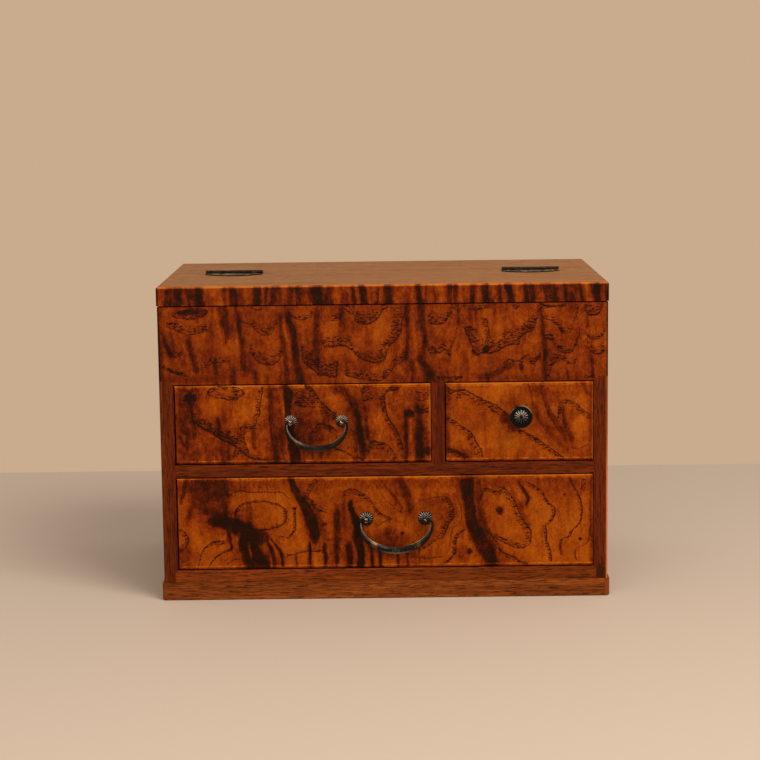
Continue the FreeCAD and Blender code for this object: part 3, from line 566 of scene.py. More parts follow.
def upper_left_figure(f):
    f.ring(226, 392.7, 17.6, 6.2, -2, -1, 8, 0.9, power=2)
    f.line("221,397.5 229,399.4 236,399.2 240.5,396", 0, 0, 1.2)
    f.line("263,387.8 262,395 260.6,403 260.2,408.4 259.3,414.6 256.6,420 255.7,424.4 252,428 246.8,432.5"
           " 244.1,436 244.1,440.5 246.8,446.8 248.6,453", -1, 5)
    f.line("248.6,453 252.1,457.5 257.5,459.7 267.3,460.1", 1, 3, 0.8)
    f.line("192.3,416.4 193.2,421 197.7,424.4 203.9,428.9 210.2,432.5 216.4,436 223.6,440.5 230.7,444"
           " 236.1,446.8", 1, 9, 1.7, 1)
    f.line("214,431 221,435 229,439.5 238,443.5", 1, 6, 1.1, 0.85)
    f.line("236.1,446.8 234.3,452 233.4,457.6", 1, 6, 1.4)
    f.line("238,449 243,453.5 250,457.5 258,460", 1, 4, 1, 0.8)
    f.line("240,426 246,424 252,425 256,424.4", -1, 8, 0.6, 0.7)
    f.line("180.7,436 183.4,444 188,449.4", -1, 3, 0.8, 0.6)
    f.line("179,404 183,407.5 187,407", 1, 8, 0.5, 0.6)
    f.line("268.5,390 269,420 270.5,431.6 272.5,440.5", 0, 0, 0.7, 0.6)
    f.line("304.5,386 310.7,387 314.3,391.4 317,396.8 320.5,401.2 325,405.7 329.5,409.3 335.7,414.6",
           -1, 7, 1.1)
    f.line("295,405 305,406.4 315,407", 1, 10, 0.7, 0.8)
    f.line("294,397 302,398.4 311,398", 1, 8, 0.6, 0.7)
    f.line("296,391 302,392 307,391", 1, 6, 0.6, 0.6)
    f.line("309,438.7 312.5,431.6 317,425.3 321.4,423.5 326.8,425.3 332.1,427.1 337.5,432.5", -1, 7, 1.3)
    f.line("345.5,391.4 352.7,404", 0, 0, 1.1, 0.8)
    f.line("358,384.5 361.6,393.2 364.3,401.2", 1, 11, 0.6, 0.75)
    f.line("385.7,394.1 389.3,391 396.4,389.6 401,387.4", 1, 4, 1.1)
    f.line("385.7,394.1 384.4,399.4 384.8,405.7 386.6,412.8 389.3,419.1 393.8,425.3 397.3,430.7 400,437"
           " 401.8,443.2 402.7,449.4", -1, 5, 1.05)
    f.line("368,446.8 370.5,442.3 374.1,441 378.6,442.3 384.8,443.2 389.3,446.8 393,453 396.4,458.4",
           -1, 8, 1.25)
    f.line("415.2,411.9 422,412.6 429,412.4", 1, 7, 0.9, 0.8)
    f.line("415,399 422,401 429,399", 1, 12, 0.5, 0.8)
    f.line("334,446.8 344.6,451.2 353.6,456.6 362.5,458.4", -1, 3, 0.8, 0.7)
    f.line("350,442.3 355.4,448.5 362.5,452", 0, 0, 0.8, 0.65)
    f.band("191,398,5 191.8,410,3 192,421,2.5", 0.65)
    f.band("270.9,386,4.6 272.7,422.6,5 276.3,464,5.2", 0.55)
    f.band("285,385,3.6 288.6,396,5.6 288,405,4 290.5,431.6,4.6 293.4,449.4,6.3 294.4,464,6.5", 0.95, 0.5)
    f.band("339.3,388,8 350,400.3,8 355.4,412,7.5 359,424.4,7.5 361.6,436,7 362.5,445,5.5 363.4,456,2.5",
           0.66, 1)
    f.band("350,402,2.4 357,416,3.2 361.5,432,3.6 363.5,450,2.4", 0.92)
    f.band("365.2,409.3,2.6 366,424.4 368,436", 0.6)
    f.band("406,414,2.4 406.4,436 406.6,460", 0.72)
    f.band("419.5,413,4.6 419.5,436,5.2 420.5,462,5.4", 0.85)
    f.band("336,386.5,1.4 345,386.5 356,387", 0.5)
    f.glint("279.5,386,1.6 283,405 285.2,431.6 287.5,452 289,464", 0.9)
    f.glint("411,420,1.6 411,440 413,460", 0.8)
    f.glint("429.6,398,1.3 429.6,425 429.6,462", 0.8)
    for px in (303.5, 313.4, 321.4):
        f.band(f"{px},453,2 {px},460", 0.34)
    f.bars(
        "184,415.5,430,4.5,0.55 193.7,423,434,3.6,0.8 186.5,431,446,3.4,0.6 218.2,421,433,2.6,0.6"
        " 223.6,413,419,3.4,0.5 254,434,446,2.6,0.55 180,405,425,2.5,0.45 208,428,460,4.5,0.22"
        " 223,442,461,5.5,0.26 196,448,461,6,0.35"
    )
    f.spots(
        "191,398.5,9.5,6.4,0.95,-8 186,420,9,9,0.42 194,428,6,7,0.5 210,446,20,12,0.2 229,432,2.2,1.8,0.8"
        " 410,414,7.5,5.6,0.85,-15 428,451.5,4,6,0.8 183,392,9,12,0.5 182,446,9,14,0.46 303,424,16,38,0.42"
        " 277,418,12,26,0.42 190,424,18,46,0.36 281,440,9,20,0.44 318,430,15,14,0.36"
    )
    f.lights(
        "236,402,30,28,1.1 212,441,20,14,0.7 250,441,14,16,0.7 329,403,13,14,0.9 378,430,22,22,0.5"
        " 300,389,12,7,0.7 262,453,10,8,0.5"
    )


def upper_right_figure(f):
    f.line("448,388.3 455.5,390.4 464.2,389.3 469.6,392.1 475,396 482.6,400.2 490.2,402.4 495.6,404.5"
           " 501,409 506.5,413.7 511,420", -1, 9, 1)
    f.line("508,424 519.5,429 526,432.7 533.6,437 544.4,443.6 553.1,449.5 563.9,457.1", -1, 5, 0.75)
    f.line("449,417.5 455.5,421.3 463.1,426.2 469.6,431.6 473.9,437 477.2,443.6 480.4,448 482.6,456.6",
           -1, 7)
    f.line("448,449 455.5,451.1 463.1,453.9 468.5,457.6", -1, 5)
    f.line("529.2,384 531.4,393.7 532.5,401.3 533.6,404.5", 0, 0, 0.8, 0.7)
    f.line("541,384 543,399 546.5,409 552.5,420.8 558,429", 0, 0, 0.8, 0.6)
    f.line("557.4,417.5 558.5,407.8 561.8,401.6", 1, 5, 0.7, 0.75)
    f.line("561.8,401.6 567.2,400 572.6,401.3 578,405.6 584.5,411 591,415.4", -1, 6, 0.8, 0.8)
    f.line("571.5,448 578,448 585.6,445.7 589,444.6", 0, 0, 0.8, 0.7)
    f.band("542.2,383,2.8 544.4,399,3 548.7,410,3.5 555.3,420.8,4 560.7,428.4,4 566.1,437,3.5", 0.5)
    f.band("533.6,404.5,4 540.1,418.6 546.6,428.4 555.3,439.2 566.1,448", 0.36)
    f.band("563,412,3 566,425,4.6 571,438,3.4", 0.6)
    f.band("582.4,382,2.6 585.6,390.4 591,396", 0.5)
    f.band("447,385,2 447,458", 0.35)
    f.band("449,449.5,3 456,451.5 463,455", 0.6)
    f.band("590.5,384,2.6 590.5,456", 0.4)
    f.spots(
        "547.7,388.3,1.4,1.4,0.7 503,380,1.2,1.2,0.6 512,430,7,4,0.35,20 505,419,7,7,0.5 481,426,12,8,0.26"
        " 572,415,8,7,0.34 536,390,16,10,0.34 556,398,9,10,0.34"
    )
    f.lights("498,392,22,10,0.7 496,446,20,16,0.8 579,426,15,16,1.2 508,446,14,14,0.9")


def front_panel_figure(f):
    f.ring(190.3, 314.2, 16, 4.8, 5, -1, 6, 0.9, 0.85, 2)
    f.line("167,327 176,331 182,333 190.8,335.1 198,334.1 207.1,331", 1, 9, 0.8, 0.8)
    f.line("168.3,352 175.5,357.4 181.6,353.5", 1, 6, 1, 0.85)
    f.line("160.2,367.8 167.3,371 174.4,374 182.6,376 190,376", 1, 4, 0.8, 0.6)
    f.line("201,369.8 206.1,366.8 213.2,363.7 223.4,362.7 229.6,364.7", 1, 7, 0.7, 0.6)
    f.line("238.7,320.8 243.8,321.8 251,324 254,324", 0, 0, 1, 0.7)
    f.line("252.5,325 256,330.5 262,334.8 268,334.8 273,331 276.5,324", 1, 9, 0.8, 0.8)
    f.line("250,352.4 254,356.5 258.1,362 264.3,364.7 271.4,364.7 277.6,360.7 281.6,355", 1, 11, 1)
    f.line("287.7,313.7 295,318.8 302,319.8 312,315.8", 1, 6, 0.7, 0.6)
    f.line("251,308 257,309.8 263,308.6", 0, 0, 0.9, 0.8)
    f.line("302,358.7 307.1,364.8 313.2,369 320.4,375 328.5,375.5 335.7,377", 1, 14, 1)
    f.line("335.7,377 337.7,371 338.2,361.7", -1, 9, 1.1)
    f.line("321.4,341.3 324.4,346.4 332.6,347 340.8,345.4 346,346 353,351.5 359.1,357.6 368.3,361.7"
           " 375.5,362.7 383.6,360.7", 1, 11, 1)
    f.line("383.6,360.7 385.7,355.6 388.7,348.4 395,341.3 400,333.1 402,323 405.1,313.8 406.1,306.6", -1, 11)
    f.line("342.8,306.6 347,310.7 353,314.8 355.1,320 360.2,323 366.3,324 373.4,322 379.6,316.8"
           " 382.6,310.7 388.7,306.6", 1, 12, 1.1)
    f.line("346,375 355.1,378 365.3,380 377.5,381 383.6,378 388.7,374 394,366.8 401,362.7 405.1,358.7"
           " 408.1,351.5", 1, 9, 0.8, 0.7)
    f.line("327.5,320 334,321 341,320", 1, 9, 0.5, 0.55)
    f.line("427.5,321 431.6,323.4 438.7,324 445,322 449,316.8 454,309.7 456.1,305.6", 1, 9, 0.9, 0.8)
    f.line("424.4,341.3 427.5,347.4 431.6,353.5 438.7,353.5 445,349.5 449,355.6 452,347.4 455.1,339.3"
           " 457.1,329", 1, 8, 1.15)
    f.line("437.7,377 450,377.4 462,376.5", -1, 5, 1.1, 0.85)
    f.line("458.2,325.7 464.4,327.7 467.5,334 471.6,344.3 472.7,352.5", 1, 10, 1)
    f.line("472.7,352.5 476.8,354.6 483,352.5 491.3,353 497.5,350.5 504.7,346.3 512,344.3 519.2,343.2"
           " 521.2,336 526.4,333 532.6,330.3 535.7,323.6 537.8,315.3 539.8,310.2 543,306", 1, 13, 1.15)
    f.line("486.1,319.5 488.2,327.7 489.2,336 487.1,344.3", -1, 6, 0.9, 0.7)
    f.line("503.7,364 510,359.8 518.1,360.8 524.3,356.7 528.5,354.6 532.6,358.7 539.8,354.6",
           -1, 6, 0.9, 0.85)
    f.line("545,318.4 551.2,320.5 556.3,325.7 560.5,332 565.6,333.4 570.8,330.8 574,322.6 578,311.2",
           1, 7, 1, 0.7)
    f.line("545,338 551.2,339.1 555.3,345.3 559.4,350.5 565.6,352 571.8,350.5 576,345.3 580,332",
           1, 7, 1.3, 0.85)
    f.line("550.2,360.8 555.3,357.7 563.6,359.8 569.8,364 575,363 577,355.6", 1, 6, 1, 0.8)
    f.line("549.1,377 551.2,367 555.3,362", -1, 4, 0.9, 0.7)
    f.line("584.2,304 585.3,311.2 590.4,315.3 596.6,315.3 600.8,310.2 602.3,304", 1, 12, 1.4, 1)
    f.line("585.3,333 588.4,337 594.6,339.6 600.8,337 605,329.8", 1, 5, 1.1, 0.8)
    f.line("587.3,346.3 591.5,351.5 597.7,353.6 604,350.5", 1, 8, 1.2, 0.85)
    f.line("543,304.9 555,305.4 565.6,303.9", -1, 3, 1.2, 0.8)
    f.line("464,305.5 470,309 477,310 490,307.5", 1, 5, 0.9, 0.8)
    f.line("512,305 515.5,308.6 519,305", 1, 5, 0.9, 0.8)
    f.line("584,377.8 594,377.2", 1, 4, 0.9, 0.6)
    f.band("181.5,313,3 188,312,4 194.6,313,3", 1)
    f.band("163.2,335.1,2.6 166.3,345.3,3 170.4,353.5,2.2", 0.75)
    f.band("188.7,344,3.4 191.8,355.6,3.9 196,368,3.6", 0.82)
    f.band("222.5,307,7 224,320.8,5.4 226.5,331,4 226.5,341,1.6", 0.78)
    f.band("238.5,318,2.6 240.3,335,3 242.8,349.4,3.5 243.8,364,4", 0.78)
    f.band("279.6,318,3 281.6,339.2 285.7,359.6 288.7,384", 0.62)
    f.band("287.7,318,4 292.8,334,4 296.4,359.6,5.4 301,384,5.8", 0.9)
    f.band("341,307,3.6 343.8,326", 0.58)
    f.band("407.5,306,2.6 407.5,335 406.5,358", 0.72)
    f.band("421.4,305,4.6 422,322,4.6 424.7,337.2,3.4 423,353,3", 0.86)
    f.band("412,366,4 413.5,376,4 412,383,4", 0.72)
    f.band("421,360,5 428,371,7.4 430,383,6.5", 0.85)
    f.band("541,311,2.4 543.4,330,3 544.5,350,3 545,379,2.6", 0.78)
    f.band("483,376,4 494,374,5 506,368,3", 0.66)
    f.band("160.5,306,2.5 161,384", 0.45)
    f.band("164,380,6 190,379 214,379", 0.5, 1)
    f.band("400,379,6 416,379", 0.5, 1)
    f.band("500,378,6 530,378 560,378", 0.42, 1)
    f.glint("183,344,1.4 185.5,351 187.5,358", 0.8)
    f.glint("215.5,310,1.6 217.3,324 220.4,336", 0.9)
    f.glint("234.6,326,1.5 236.7,341 237.7,351", 0.8)
    f.glint("283.6,327,1.7 288.7,344.3 290.6,356", 1)
    f.glint("412.5,322,3.4 414.5,340 415,356", 0.6)
    f.glint("483,329,1.8 483.6,344", 1)
    f.bars(
        "232,372,385,4.6,0.62 215.3,369,384,3.4,0.42 255.6,374,385,2.6,0.55 267,380,385,2,0.45"
        " 316.8,314,364,3.9,0.72 567,372,380,2.2,0.65 592,362,373,2.4,0.55 466,356,378,2.4,0.5"
        " 458,306,322,2,0.4 476,312,330,1.6,0.4 587,318,324,1.6,0.5"
    )
    f.spots(
        "485,349,4.4,4.4,0.9 521.4,367,3.2,4.6,0.78 346,366,10,12,0.3 411,374,8,9,0.4 553,374,8,8,0.34"
        " 578,309,12,7,0.34"
    )
    f.lights(
        "387,334,20,32,0.75 524,322,10,12,0.6 462,358,13,12,0.5 336,327,16,14,1 493,334,18,28,1.1"
        " 519,344,20,18,0.9 549,312,9,9,0.5"
    )


# Pixel rows on the lid's front edge
EDGE_TOP = 286
EDGE_MIDDLE = 297
EDGE_FOOT = 309


def lid_edge_figure(f):
    for top, bottom, half, weight in rows(
        "168,168,4.4,0.72 177.5,176,5.2,0.6 185,190,2.2,0.4 199,199.5,5.2,0.98 224,227,2.3,0.55"
        " 231.5,235,4.8,0.88 256.4,257,4.6,0.88 266,265.5,1.6,0.4 275,272,4.4,0.72 291,290,3.4,0.66"
        " 298,300,4,0.7 317,318,6.2,1 328,328,6,0.55 344,346,4.5,0.34 352.5,355,2.2,0.66 361.4,366,4.4,0.95"
        " 378.5,378,1.7,0.42 387,390,4.5,0.85 408,407,4.2,0.38 417.6,422,4,1 427,425,2,0.5"
        " 434,434.5,1.5,0.4 450,449,3.4,0.7 455.6,454.4,2.4,0.66 473,473,2.7,0.76 484.6,487.6,4.2,0.95"
        " 500,500,2,0.5 507.8,513,4,0.95 525,528,3,0.72 531,534,2.6,0.62 550,554,7.5,0.42"
        " 564.6,567.6,1.9,0.66 574,574,4,0.34 580,584.5,1.8,0.6 597,597.5,4,0.8 606,606,1.6,0.5"
    ):
        middle = (top + bottom) / 2
        f.band(f"{top},{EDGE_TOP},{half} {middle},{EDGE_MIDDLE} {bottom},{EDGE_FOOT}", weight, 0.6)
    f.line("543,287 545,295 549,308", 1, 9, 0.7, 0.8)
    f.line("557,287 556,295 560,306", -1, 6, 0.7, 0.7)
    f.line("263.5,288 264.5,306", 1, 4, 0.6, 0.6)
    f.line("379,288 378,306", -1, 4, 0.6, 0.6)
    for px in (187, 206, 243, 262, 301, 337, 358, 370, 396, 413, 441, 461, 479, 494, 504, 517, 540, 588):
        f.glint(f"{px - 1},{EDGE_TOP},1.6 {px + 1},{EDGE_FOOT}", 0.55)


# Straight-grained wood

# Each kind's light, dark and pore colours
WOOD = {
    "frame": ((117, 45, 7), (72, 21, 0), (38, 10, 0)),
    "stile": ((110, 41, 5), (67, 19, 0), (36, 9, 0)),
    "divider": ((105, 34, 1), (66, 17, 0), (36, 9, 0)),
    "rail": ((135, 59, 14), (86, 32, 3), (42, 14, 1)),
    "side": ((128, 54, 16), (86, 31, 6), (46, 16, 2)),
    "plinth": ((148, 74, 24), (98, 42, 9), (46, 18, 3)),
    "top": ((172, 117, 71), (134, 84, 44), (90, 50, 23)),
    "inner": ((214, 184, 140), (194, 158, 112), (164, 126, 84)),
    "peg": ((222, 196, 148), (200, 168, 112), (160, 122, 76)),
}
LACQUERED = 0.42
ROUGHNESS = {"inner": 0.62, "top": 0.5, "peg": 0.5}


def board(name, kind, along, seed, wear_and_highlight=None):
    """A plain board; along is the axis that its grain runs on."""
    light, dark, pore = (colour(*tint) for tint in WOOD[kind])
    graph = Surface(name, Roughness=ROUGHNESS.get(kind, LACQUERED), Specular_IOR_Level=0.07)
    position = graph.vector("ADD", graph.position(), (seed, seed * 1.7, seed * 0.6))

    def periods(across, length):
        return tuple(length if axis == along else across for axis in "xyz")

    soft = graph.warp(position, 60.0, 2.2)
    broad = graph.noise(soft, periods(6.0, 190.0), 3.0, 0.55)
    fine = graph.noise(soft, periods(0.75, 32.0), 3.0, 0.65)
    dashes = graph.noise(graph.warp(position, 12.0, 0.6), periods(0.5, 11.0), 2.0, 0.55).ramp(0.5, 0.62)
    tone = broad.ramp(0.34, 0.66, 0.0, 0.45) + fine.ramp(0.36, 0.64, 0.0, 0.55)
    tint = graph.blend(tone, light, dark)
    tint = graph.blend(dashes * 0.85, tint, pore)
    # The right stile's dirt and the right side's painted highlight are laid over the grain here.
    if wear_and_highlight:
        tint = wear_and_highlight(graph, tint)
    graph.bump(fine - dashes, 0.00004, 0.5)
    return graph.finish(tint)


def right_side_highlight(graph, tint):
    """The right side's front corner, painted bright low down: a painted highlight on its arris."""
    x, _, z = graph.parts(graph.position())
    forward = graph.parts(graph.facing())[1].ramp(-0.1, -0.5)
    edge = (x - box("right_side_panel")[1].x).ramp(-1.6, -1.0)
    # Painted highlight on the front arris, strongest low down.
    corner = edge * forward * z.ramp(150.0, 90.0, 0.3, 1.0)
    return graph.blend(corner * 0.85, tint, colour(204, 108, 44))


STILE_FOOT_PIXEL = (600, 571)


def right_stile_wear(graph, tint):
    """The right stile's foot, dark with handling."""
    x, _, z = graph.parts(graph.position())
    foot_x, foot_z = on_front(*STILE_FOOT_PIXEL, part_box("right_stile")[0].y)
    across = (x - foot_x) / 4.6
    above = (z - foot_z) / 8.0
    reach = (across.math("POWER", 2.0) + above.math("POWER", 2.0)).math("SQRT")
    return graph.blend(reach.ramp(1.3, 0.4) * 0.8, tint, colour(40, 14, 4))


# Metal

IRON = colour(20, 15, 11)
IRON_PATINA = colour(37, 29, 22)
# A pale grey for painted highlights on the iron.
PAINTED_HIGHLIGHT = colour(168, 148, 124)
BRASS = colour(116, 86, 44)

# Petals and eye radii of the rosettes and the knob's pin, the pin's own radius, and the knob's rim
ROSETTE_PETALS = 16.0
ROSETTE_EYE = 1.3
PIN_PETALS = 14.0
PIN_EYE = 1.1
PIN_RADIUS = 5.6
KNOB_RIM = 8.4

# How far under a bail's top its bow starts
BOW_START = 5.0


class Iron(Surface):
    """Dark patinated iron, on which bared brass and plating, painted highlights and painted shade are laid
    in coats.
    """

    def __init__(self, name):
        super().__init__(name, Metallic=0.8, Specular_IOR_Level=0.4)
        self.place = self.position()
        self.patina = self.noise(self.place, 2.2, 3.0, 0.6).ramp(0.35, 0.7)
        pits = self.noise(self.place, 0.5, 2.0, 0.6)
        self.tint = self.blend(self.patina, IRON, IRON_PATINA)
        self.bump(pits + self.patina * 0.5, 0.00006, 0.5)

    def coat(self, share, tint):
        self.tint = self.blend(share, self.tint, tint)

    def done(self, shine=None):
        """The material; shine marks the painted highlights, made less metallic so that they scatter light
        where the patina mirrors it.
        """
        if shine is not None:
            self.fill(self.shader, Metallic=shine.ramp(0.0, 1.0, 0.8, 0.2))
        return self.finish(self.tint, Roughness=self.patina.ramp(0.0, 1.0, 0.46, 0.34))


def dark_iron():
    """Dark iron, lighter here and there where handling has bared the brass."""
    iron = Iron("dark_iron")
    iron.coat(iron.noise(iron.place, 3.4, 2.0, 0.5).ramp(0.55, 0.78, 0.0, 0.3), BRASS)
    return iron.done()


def bail_iron(node, wear_and_highlight):
    """A drop handle: a painted highlight along its inner edge, paler up its arms, a faint painted reflection
    and painted highlight dashes low on its bow, dark elsewhere, with brass showing through.
    """
    iron = Iron("iron_" + node)
    low, high = box(node)
    x, _, z = iron.parts(iron.place)
    half_width = (high.x - low.x) / 2
    drop = high.z - low.z
    across = x - (low.x + high.x) / 2
    sideways = across * (-1.0 / half_width**2)
    downward = (z - (high.z - BOW_START)).smaller(0.0) * (-1.0 / (drop - BOW_START) ** 2)
    slope = iron.vector("NORMALIZE", iron.node("CombineXYZ", sideways, 0.0, downward).outputs[0])
    inward = iron.node("VectorMath", slope, iron.facing(), operation="DOT_PRODUCT")
    inward = Wire(iron, inward.outputs["Value"])
    rough = iron.noise(iron.place, 3.0, 2.0, 0.6)
    arm_highlight = across.size().ramp(half_width * 0.2, half_width * 0.6, 0.25, 1.0)
    # The painted highlight along the inner edge, where light from above catches it.
    line = inward.ramp(0.58, 0.84) * rough.ramp(0.3, 0.6, 0.6, 1.0) * arm_highlight
    # A faint painted reflection low on the bow, and painted highlight dashes at its middle.
    lower_reflection = (inward + 0.55).size().ramp(0.16, 0.02)
    lower_reflection = lower_reflection * across.size().ramp(half_width * 0.5, half_width * 0.2)
    highlight_ticks = (x * 5.6).math("SINE").ramp(0.2, 0.9) * across.size().ramp(3.6, 2.6) * inward.ramp(0.5, 0.1)
    iron.coat((lower_reflection + highlight_ticks * 0.6) * (0.4 * wear_and_highlight), PAINTED_HIGHLIGHT)
    patches = (across.size() - half_width * 0.58).size().ramp(3.4, 1.0) * rough.ramp(0.36, 0.56)
    iron.coat(patches * (0.52 * wear_and_highlight), BRASS)
    # The painted highlight, paler still up the arms where the lamps light them weakly.
    iron.coat(line * 0.85, iron.blend(arm_highlight, PAINTED_HIGHLIGHT, colour(232, 212, 190)))
    return iron.done(line)


def post_iron(node, highlight_specks):
    """A handle's post: small pale specks of painted highlight."""
    iron = Iron("iron_" + node)
    # Painted highlight specks.
    iron.coat(iron.noise(iron.place, 1.3, 1.0).ramp(0.5, 0.6, 0.0, highlight_specks), colour(226, 182, 160))
    return iron.done()


def leaf_iron(node):
    """A hinge leaf: dark iron with its plating showing in spots."""
    iron = Iron("iron_" + node)
    flat = iron.parts(iron.facing())[2].ramp(0.9, 0.99)
    spots = iron.noise(iron.place, 3.4, 2.0, 0.55).ramp(0.5, 0.6, 0.0, 0.9)
    iron.coat(spots * flat, colour(186, 164, 128))
    iron.coat(iron.noise(iron.place, (1.0, 6.0, 6.0), 1.0).ramp(0.56, 0.68, 0.0, 0.5), colour(92, 82, 70))
    return iron.done()


def polar(iron, node):
    """The distance from a round node's middle in millimetres, and the angle and height around it."""
    low, high = box(node)
    x, _, z = iron.parts(iron.place)
    dx = x - (low.x + high.x) / 2
    dz = z - (low.z + high.z) / 2
    radius = (dx.math("POWER", 2.0) + dz.math("POWER", 2.0)).math("SQRT")
    return radius, dz.math("ARCTAN2", dx), dz


def petal_iron(node, petals, radius, eye, top_light, strength):
    """A flower's petals: a painted highlight along their ridges and painted light on their top half, painted
    shade in the grooves that eases towards the top, and plain dark iron at the eye.
    """
    iron = Iron("iron_" + node)
    reach, angle, height = polar(iron, node)
    ridge = (angle * petals).math("COSINE") * -1.0
    body = reach.ramp(eye, eye + 0.9) * reach.ramp(radius + 0.4, radius - 0.9)
    # Painted light: lighter towards the top, as light falls from above.
    lit = height.ramp(radius * -0.7, radius * 0.6, 0.2, 1.0)
    lit = lit * iron.noise(iron.place, 1.6, 1.0).ramp(0.34, 0.62, 0.5, 1.0)
    # Painted light over the top half.
    top = height.ramp(radius * -0.2, radius * 0.7)
    iron.coat(top * top_light, colour(136, 112, 92))
    # Painted highlight along the ridges.
    petal_highlight = ridge.ramp(-0.35, 0.55) * body * lit
    iron.coat(petal_highlight * strength, colour(214, 202, 190))
    # Painted shade in the grooves, eased towards the top.
    groove_shade = ridge.ramp(-0.45, -0.95) * body
    iron.coat(groove_shade * (top * (top_light * -1.2) + 0.9), colour(12, 9, 7))
    return iron.done(petal_highlight * top)


def knob_iron(node):
    """A round knob: painted shade on the floor of its dish, and a painted highlight along the top of its
    rim.
    """
    iron = Iron("iron_" + node)
    reach, angle, _ = polar(iron, node)
    rim = reach.ramp(KNOB_RIM - 0.3, KNOB_RIM + 0.3)
    # Painted highlight along the rim's top, strongest towards the right.
    rim_highlight_arc = (angle - 1.05).size().ramp(0.95, 0.25) + (angle - 2.5).size().ramp(0.5, 0.1) * 0.45
    # Painted shade on the dish's floor inside the rim.
    dish = iron.parts(iron.facing())[1].ramp(-0.6, -0.9) * reach.ramp(KNOB_RIM + 0.1, KNOB_RIM - 0.2)
    iron.coat(dish * 0.85, colour(14, 10, 8))
    iron.coat(rim * rim_highlight_arc * 0.75, PAINTED_HIGHLIGHT)
    return iron.done()


# Dressing the nodes

# A figured face's plain tone, how dark its marks are, how cloudy it is, and its marks
FIGURES = {
    "lower_drawer_front": (0.35, 0.62, 0.65, lower_drawer_figure),
    "upper_left_drawer_front": (0.49, 0.5, 0.9, upper_left_figure),
    "upper_right_drawer_front": (0.4, 0.5, 0.65, upper_right_figure),
    "front_panel": (0.5, 0.42, 0.7, front_panel_figure),
    "lid_front_edging": (0.52, 0.46, 0.9, lid_edge_figure),
}

# The boards of each kind of wood, by the axis that their grain runs on
BOARDS = {
    ("stile", "z"): "left_stile right_stile",
    ("divider", "z"): "divider_stile",
    ("rail", "x"): "bottom_rail",
    ("frame", "x"): "middle_rail",
    ("side", "z"): "left_side_panel right_side_panel",
    ("side", "x"): "back_panel",
    ("top", "x"): "rear_top_board lid_flap_board",
    ("inner", "x"): "bottom_board shelf_board compartment_floor",
    ("inner", "y"): "divider_panel",
    ("plinth", "x"): "plinth_front_rail plinth_back_rail",
    ("plinth", "y"): "plinth_left_rail plinth_right_rail",
}
GRAIN = {name: grain for grain, names in BOARDS.items() for name in names.split()}
# The right stile's dirt at its foot, and the right side's painted highlight.
WEAR_AND_HIGHLIGHT = {"right_stile": right_stile_wear, "right_side_panel": right_side_highlight}
SEED_STEP = 37.0


def grain_of(name):
    """A wooden node's kind of wood and its grain's axis, or None for metal."""
    if name in GRAIN:
        return GRAIN[name]
    if "drawer_" in name and "knob" not in name:
        return "inner", "y" if name.endswith("_side") else "x"
    return None


def fitting(node, iron):
    """The material of a metal piece: one with its own bared brass, painted highlights or painted shade, or
    the plain iron.
    """
    upper = node.startswith("upper")
    if node.endswith("_bail"):
        return bail_iron(node, 0.3 if upper else 1.0)
    if node.endswith("_rosette"):
        low, high = box(node)
        # Upper rosettes get more painted light on their top half and brighter painted highlights.
        top_light, bright = (0.6, 0.8) if upper else (0.1, 0.62)
        return petal_iron(node, ROSETTE_PETALS, (high.x - low.x) / 2, ROSETTE_EYE, top_light, bright)
    if node.endswith("_post"):
        return post_iron(node, 0.85 if upper else 0.5)
    if node.endswith("_front_leaf"):
        return leaf_iron(node)
    if node == "knob_flower_pin":
        return petal_iron(node, PIN_PETALS, PIN_RADIUS, PIN_EYE, 0.15, 1.0)
    if node == "drawer_knob":
        return knob_iron(node)
    return iron


def dress_all():
    iron = dark_iron()
    peg = board("bamboo", "peg", "x", 3.0)
    for place, name in enumerate(sorted(NODES)):
        if name in FIGURES:
            material = figured(name, *FIGURES[name])
        elif name.endswith("_pegs"):
            material = peg
        elif grain_of(name):
            kind, along = grain_of(name)
            material = board(f"{kind}_{name}", kind, along, place * SEED_STEP, WEAR_AND_HIGHLIGHT.get(name))
        else:
            material = fitting(name, iron)
        slots = NODES[name].data.materials
        slots.clear()
        slots.append(material)


# Floor, backdrop and light

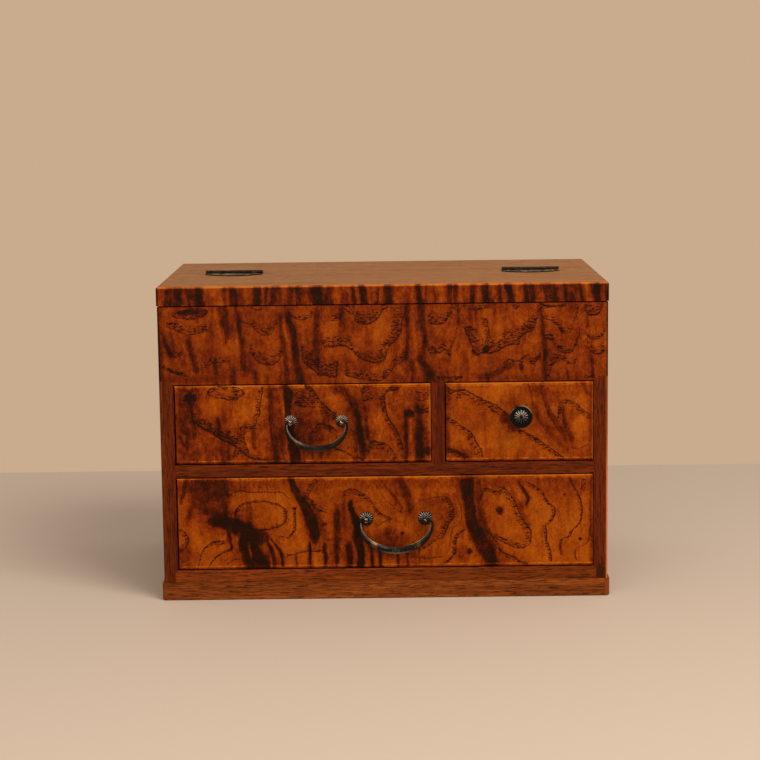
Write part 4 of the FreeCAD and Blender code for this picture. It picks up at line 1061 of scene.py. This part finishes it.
FLOOR_COLOUR = colour(201, 180, 160)
BACKDROP_COLOUR = colour(201, 171, 141)
DAYLIGHT = (1.0, 0.93, 0.85, 1.0)
LAMP_TINT = (1.0, 0.97, 0.92)
LAMP_TARGET = Vector((0, 0, 0.12))
FLOOR_BACK = 0.462
FLOOR_FRONT = -2.6
FLOOR_SIDE = 1.9


def add_floor():
    mesh = bpy.data.meshes.new("floor")
    front = [(-FLOOR_SIDE, FLOOR_FRONT, 0), (FLOOR_SIDE, FLOOR_FRONT, 0)]
    back = [(FLOOR_SIDE, FLOOR_BACK, 0), (-FLOOR_SIDE, FLOOR_BACK, 0)]
    mesh.from_pydata(front + back, [], [(0, 1, 2, 3)])
    floor = bpy.data.objects.new("floor", mesh)
    bpy.context.scene.collection.objects.link(floor)
    paper = Surface("floor_paper", Roughness=0.9, Specular_IOR_Level=0.1)
    mesh.materials.append(paper.finish(FLOOR_COLOUR))


def add_world(strength):
    """Even light for the object, and a plain pale backdrop where the camera sees past it."""
    world = bpy.data.worlds.new("studio")
    bpy.context.scene.world = world
    world.use_nodes = True
    graph = Graph(world.node_tree)
    graph.nodes.clear()
    light = graph.node("Background", DAYLIGHT, strength)
    backdrop = graph.node("Background", BACKDROP_COLOUR, 1.0)
    rays = graph.node("LightPath").outputs
    seen = Wire(graph, rays["Is Camera Ray"])
    for kind in ("Is Glossy Ray", "Is Transmission Ray"):
        seen = seen.larger(Wire(graph, rays[kind]))
    mix = graph.node("MixShader", seen, light.outputs[0], backdrop.outputs[0])
    graph.node("OutputWorld", Surface=mix.outputs[0])


def add_lamp(name, place, power, size):
    data = bpy.data.lights.new(name, "AREA")
    data.energy = power
    data.shape = "SQUARE"
    data.size = size
    data.color = LAMP_TINT
    lamp = bpy.data.objects.new(name, data)
    bpy.context.scene.collection.objects.link(lamp)
    lamp.location = place
    lamp.rotation_euler = (LAMP_TARGET - Vector(place)).to_track_quat("-Z", "Y").to_euler()


add_camera()
add_floor()
add_world(0.5)
add_lamp("key", (0.9, -1.2, 1.7), 30.0, 1.0)
add_lamp("fill", (-0.8, -1.9, 1.1), 10.0, 1.2)
add_lamp("front", (0.2, -2.2, 1.0), 8.0, 1.2)
dress_all()
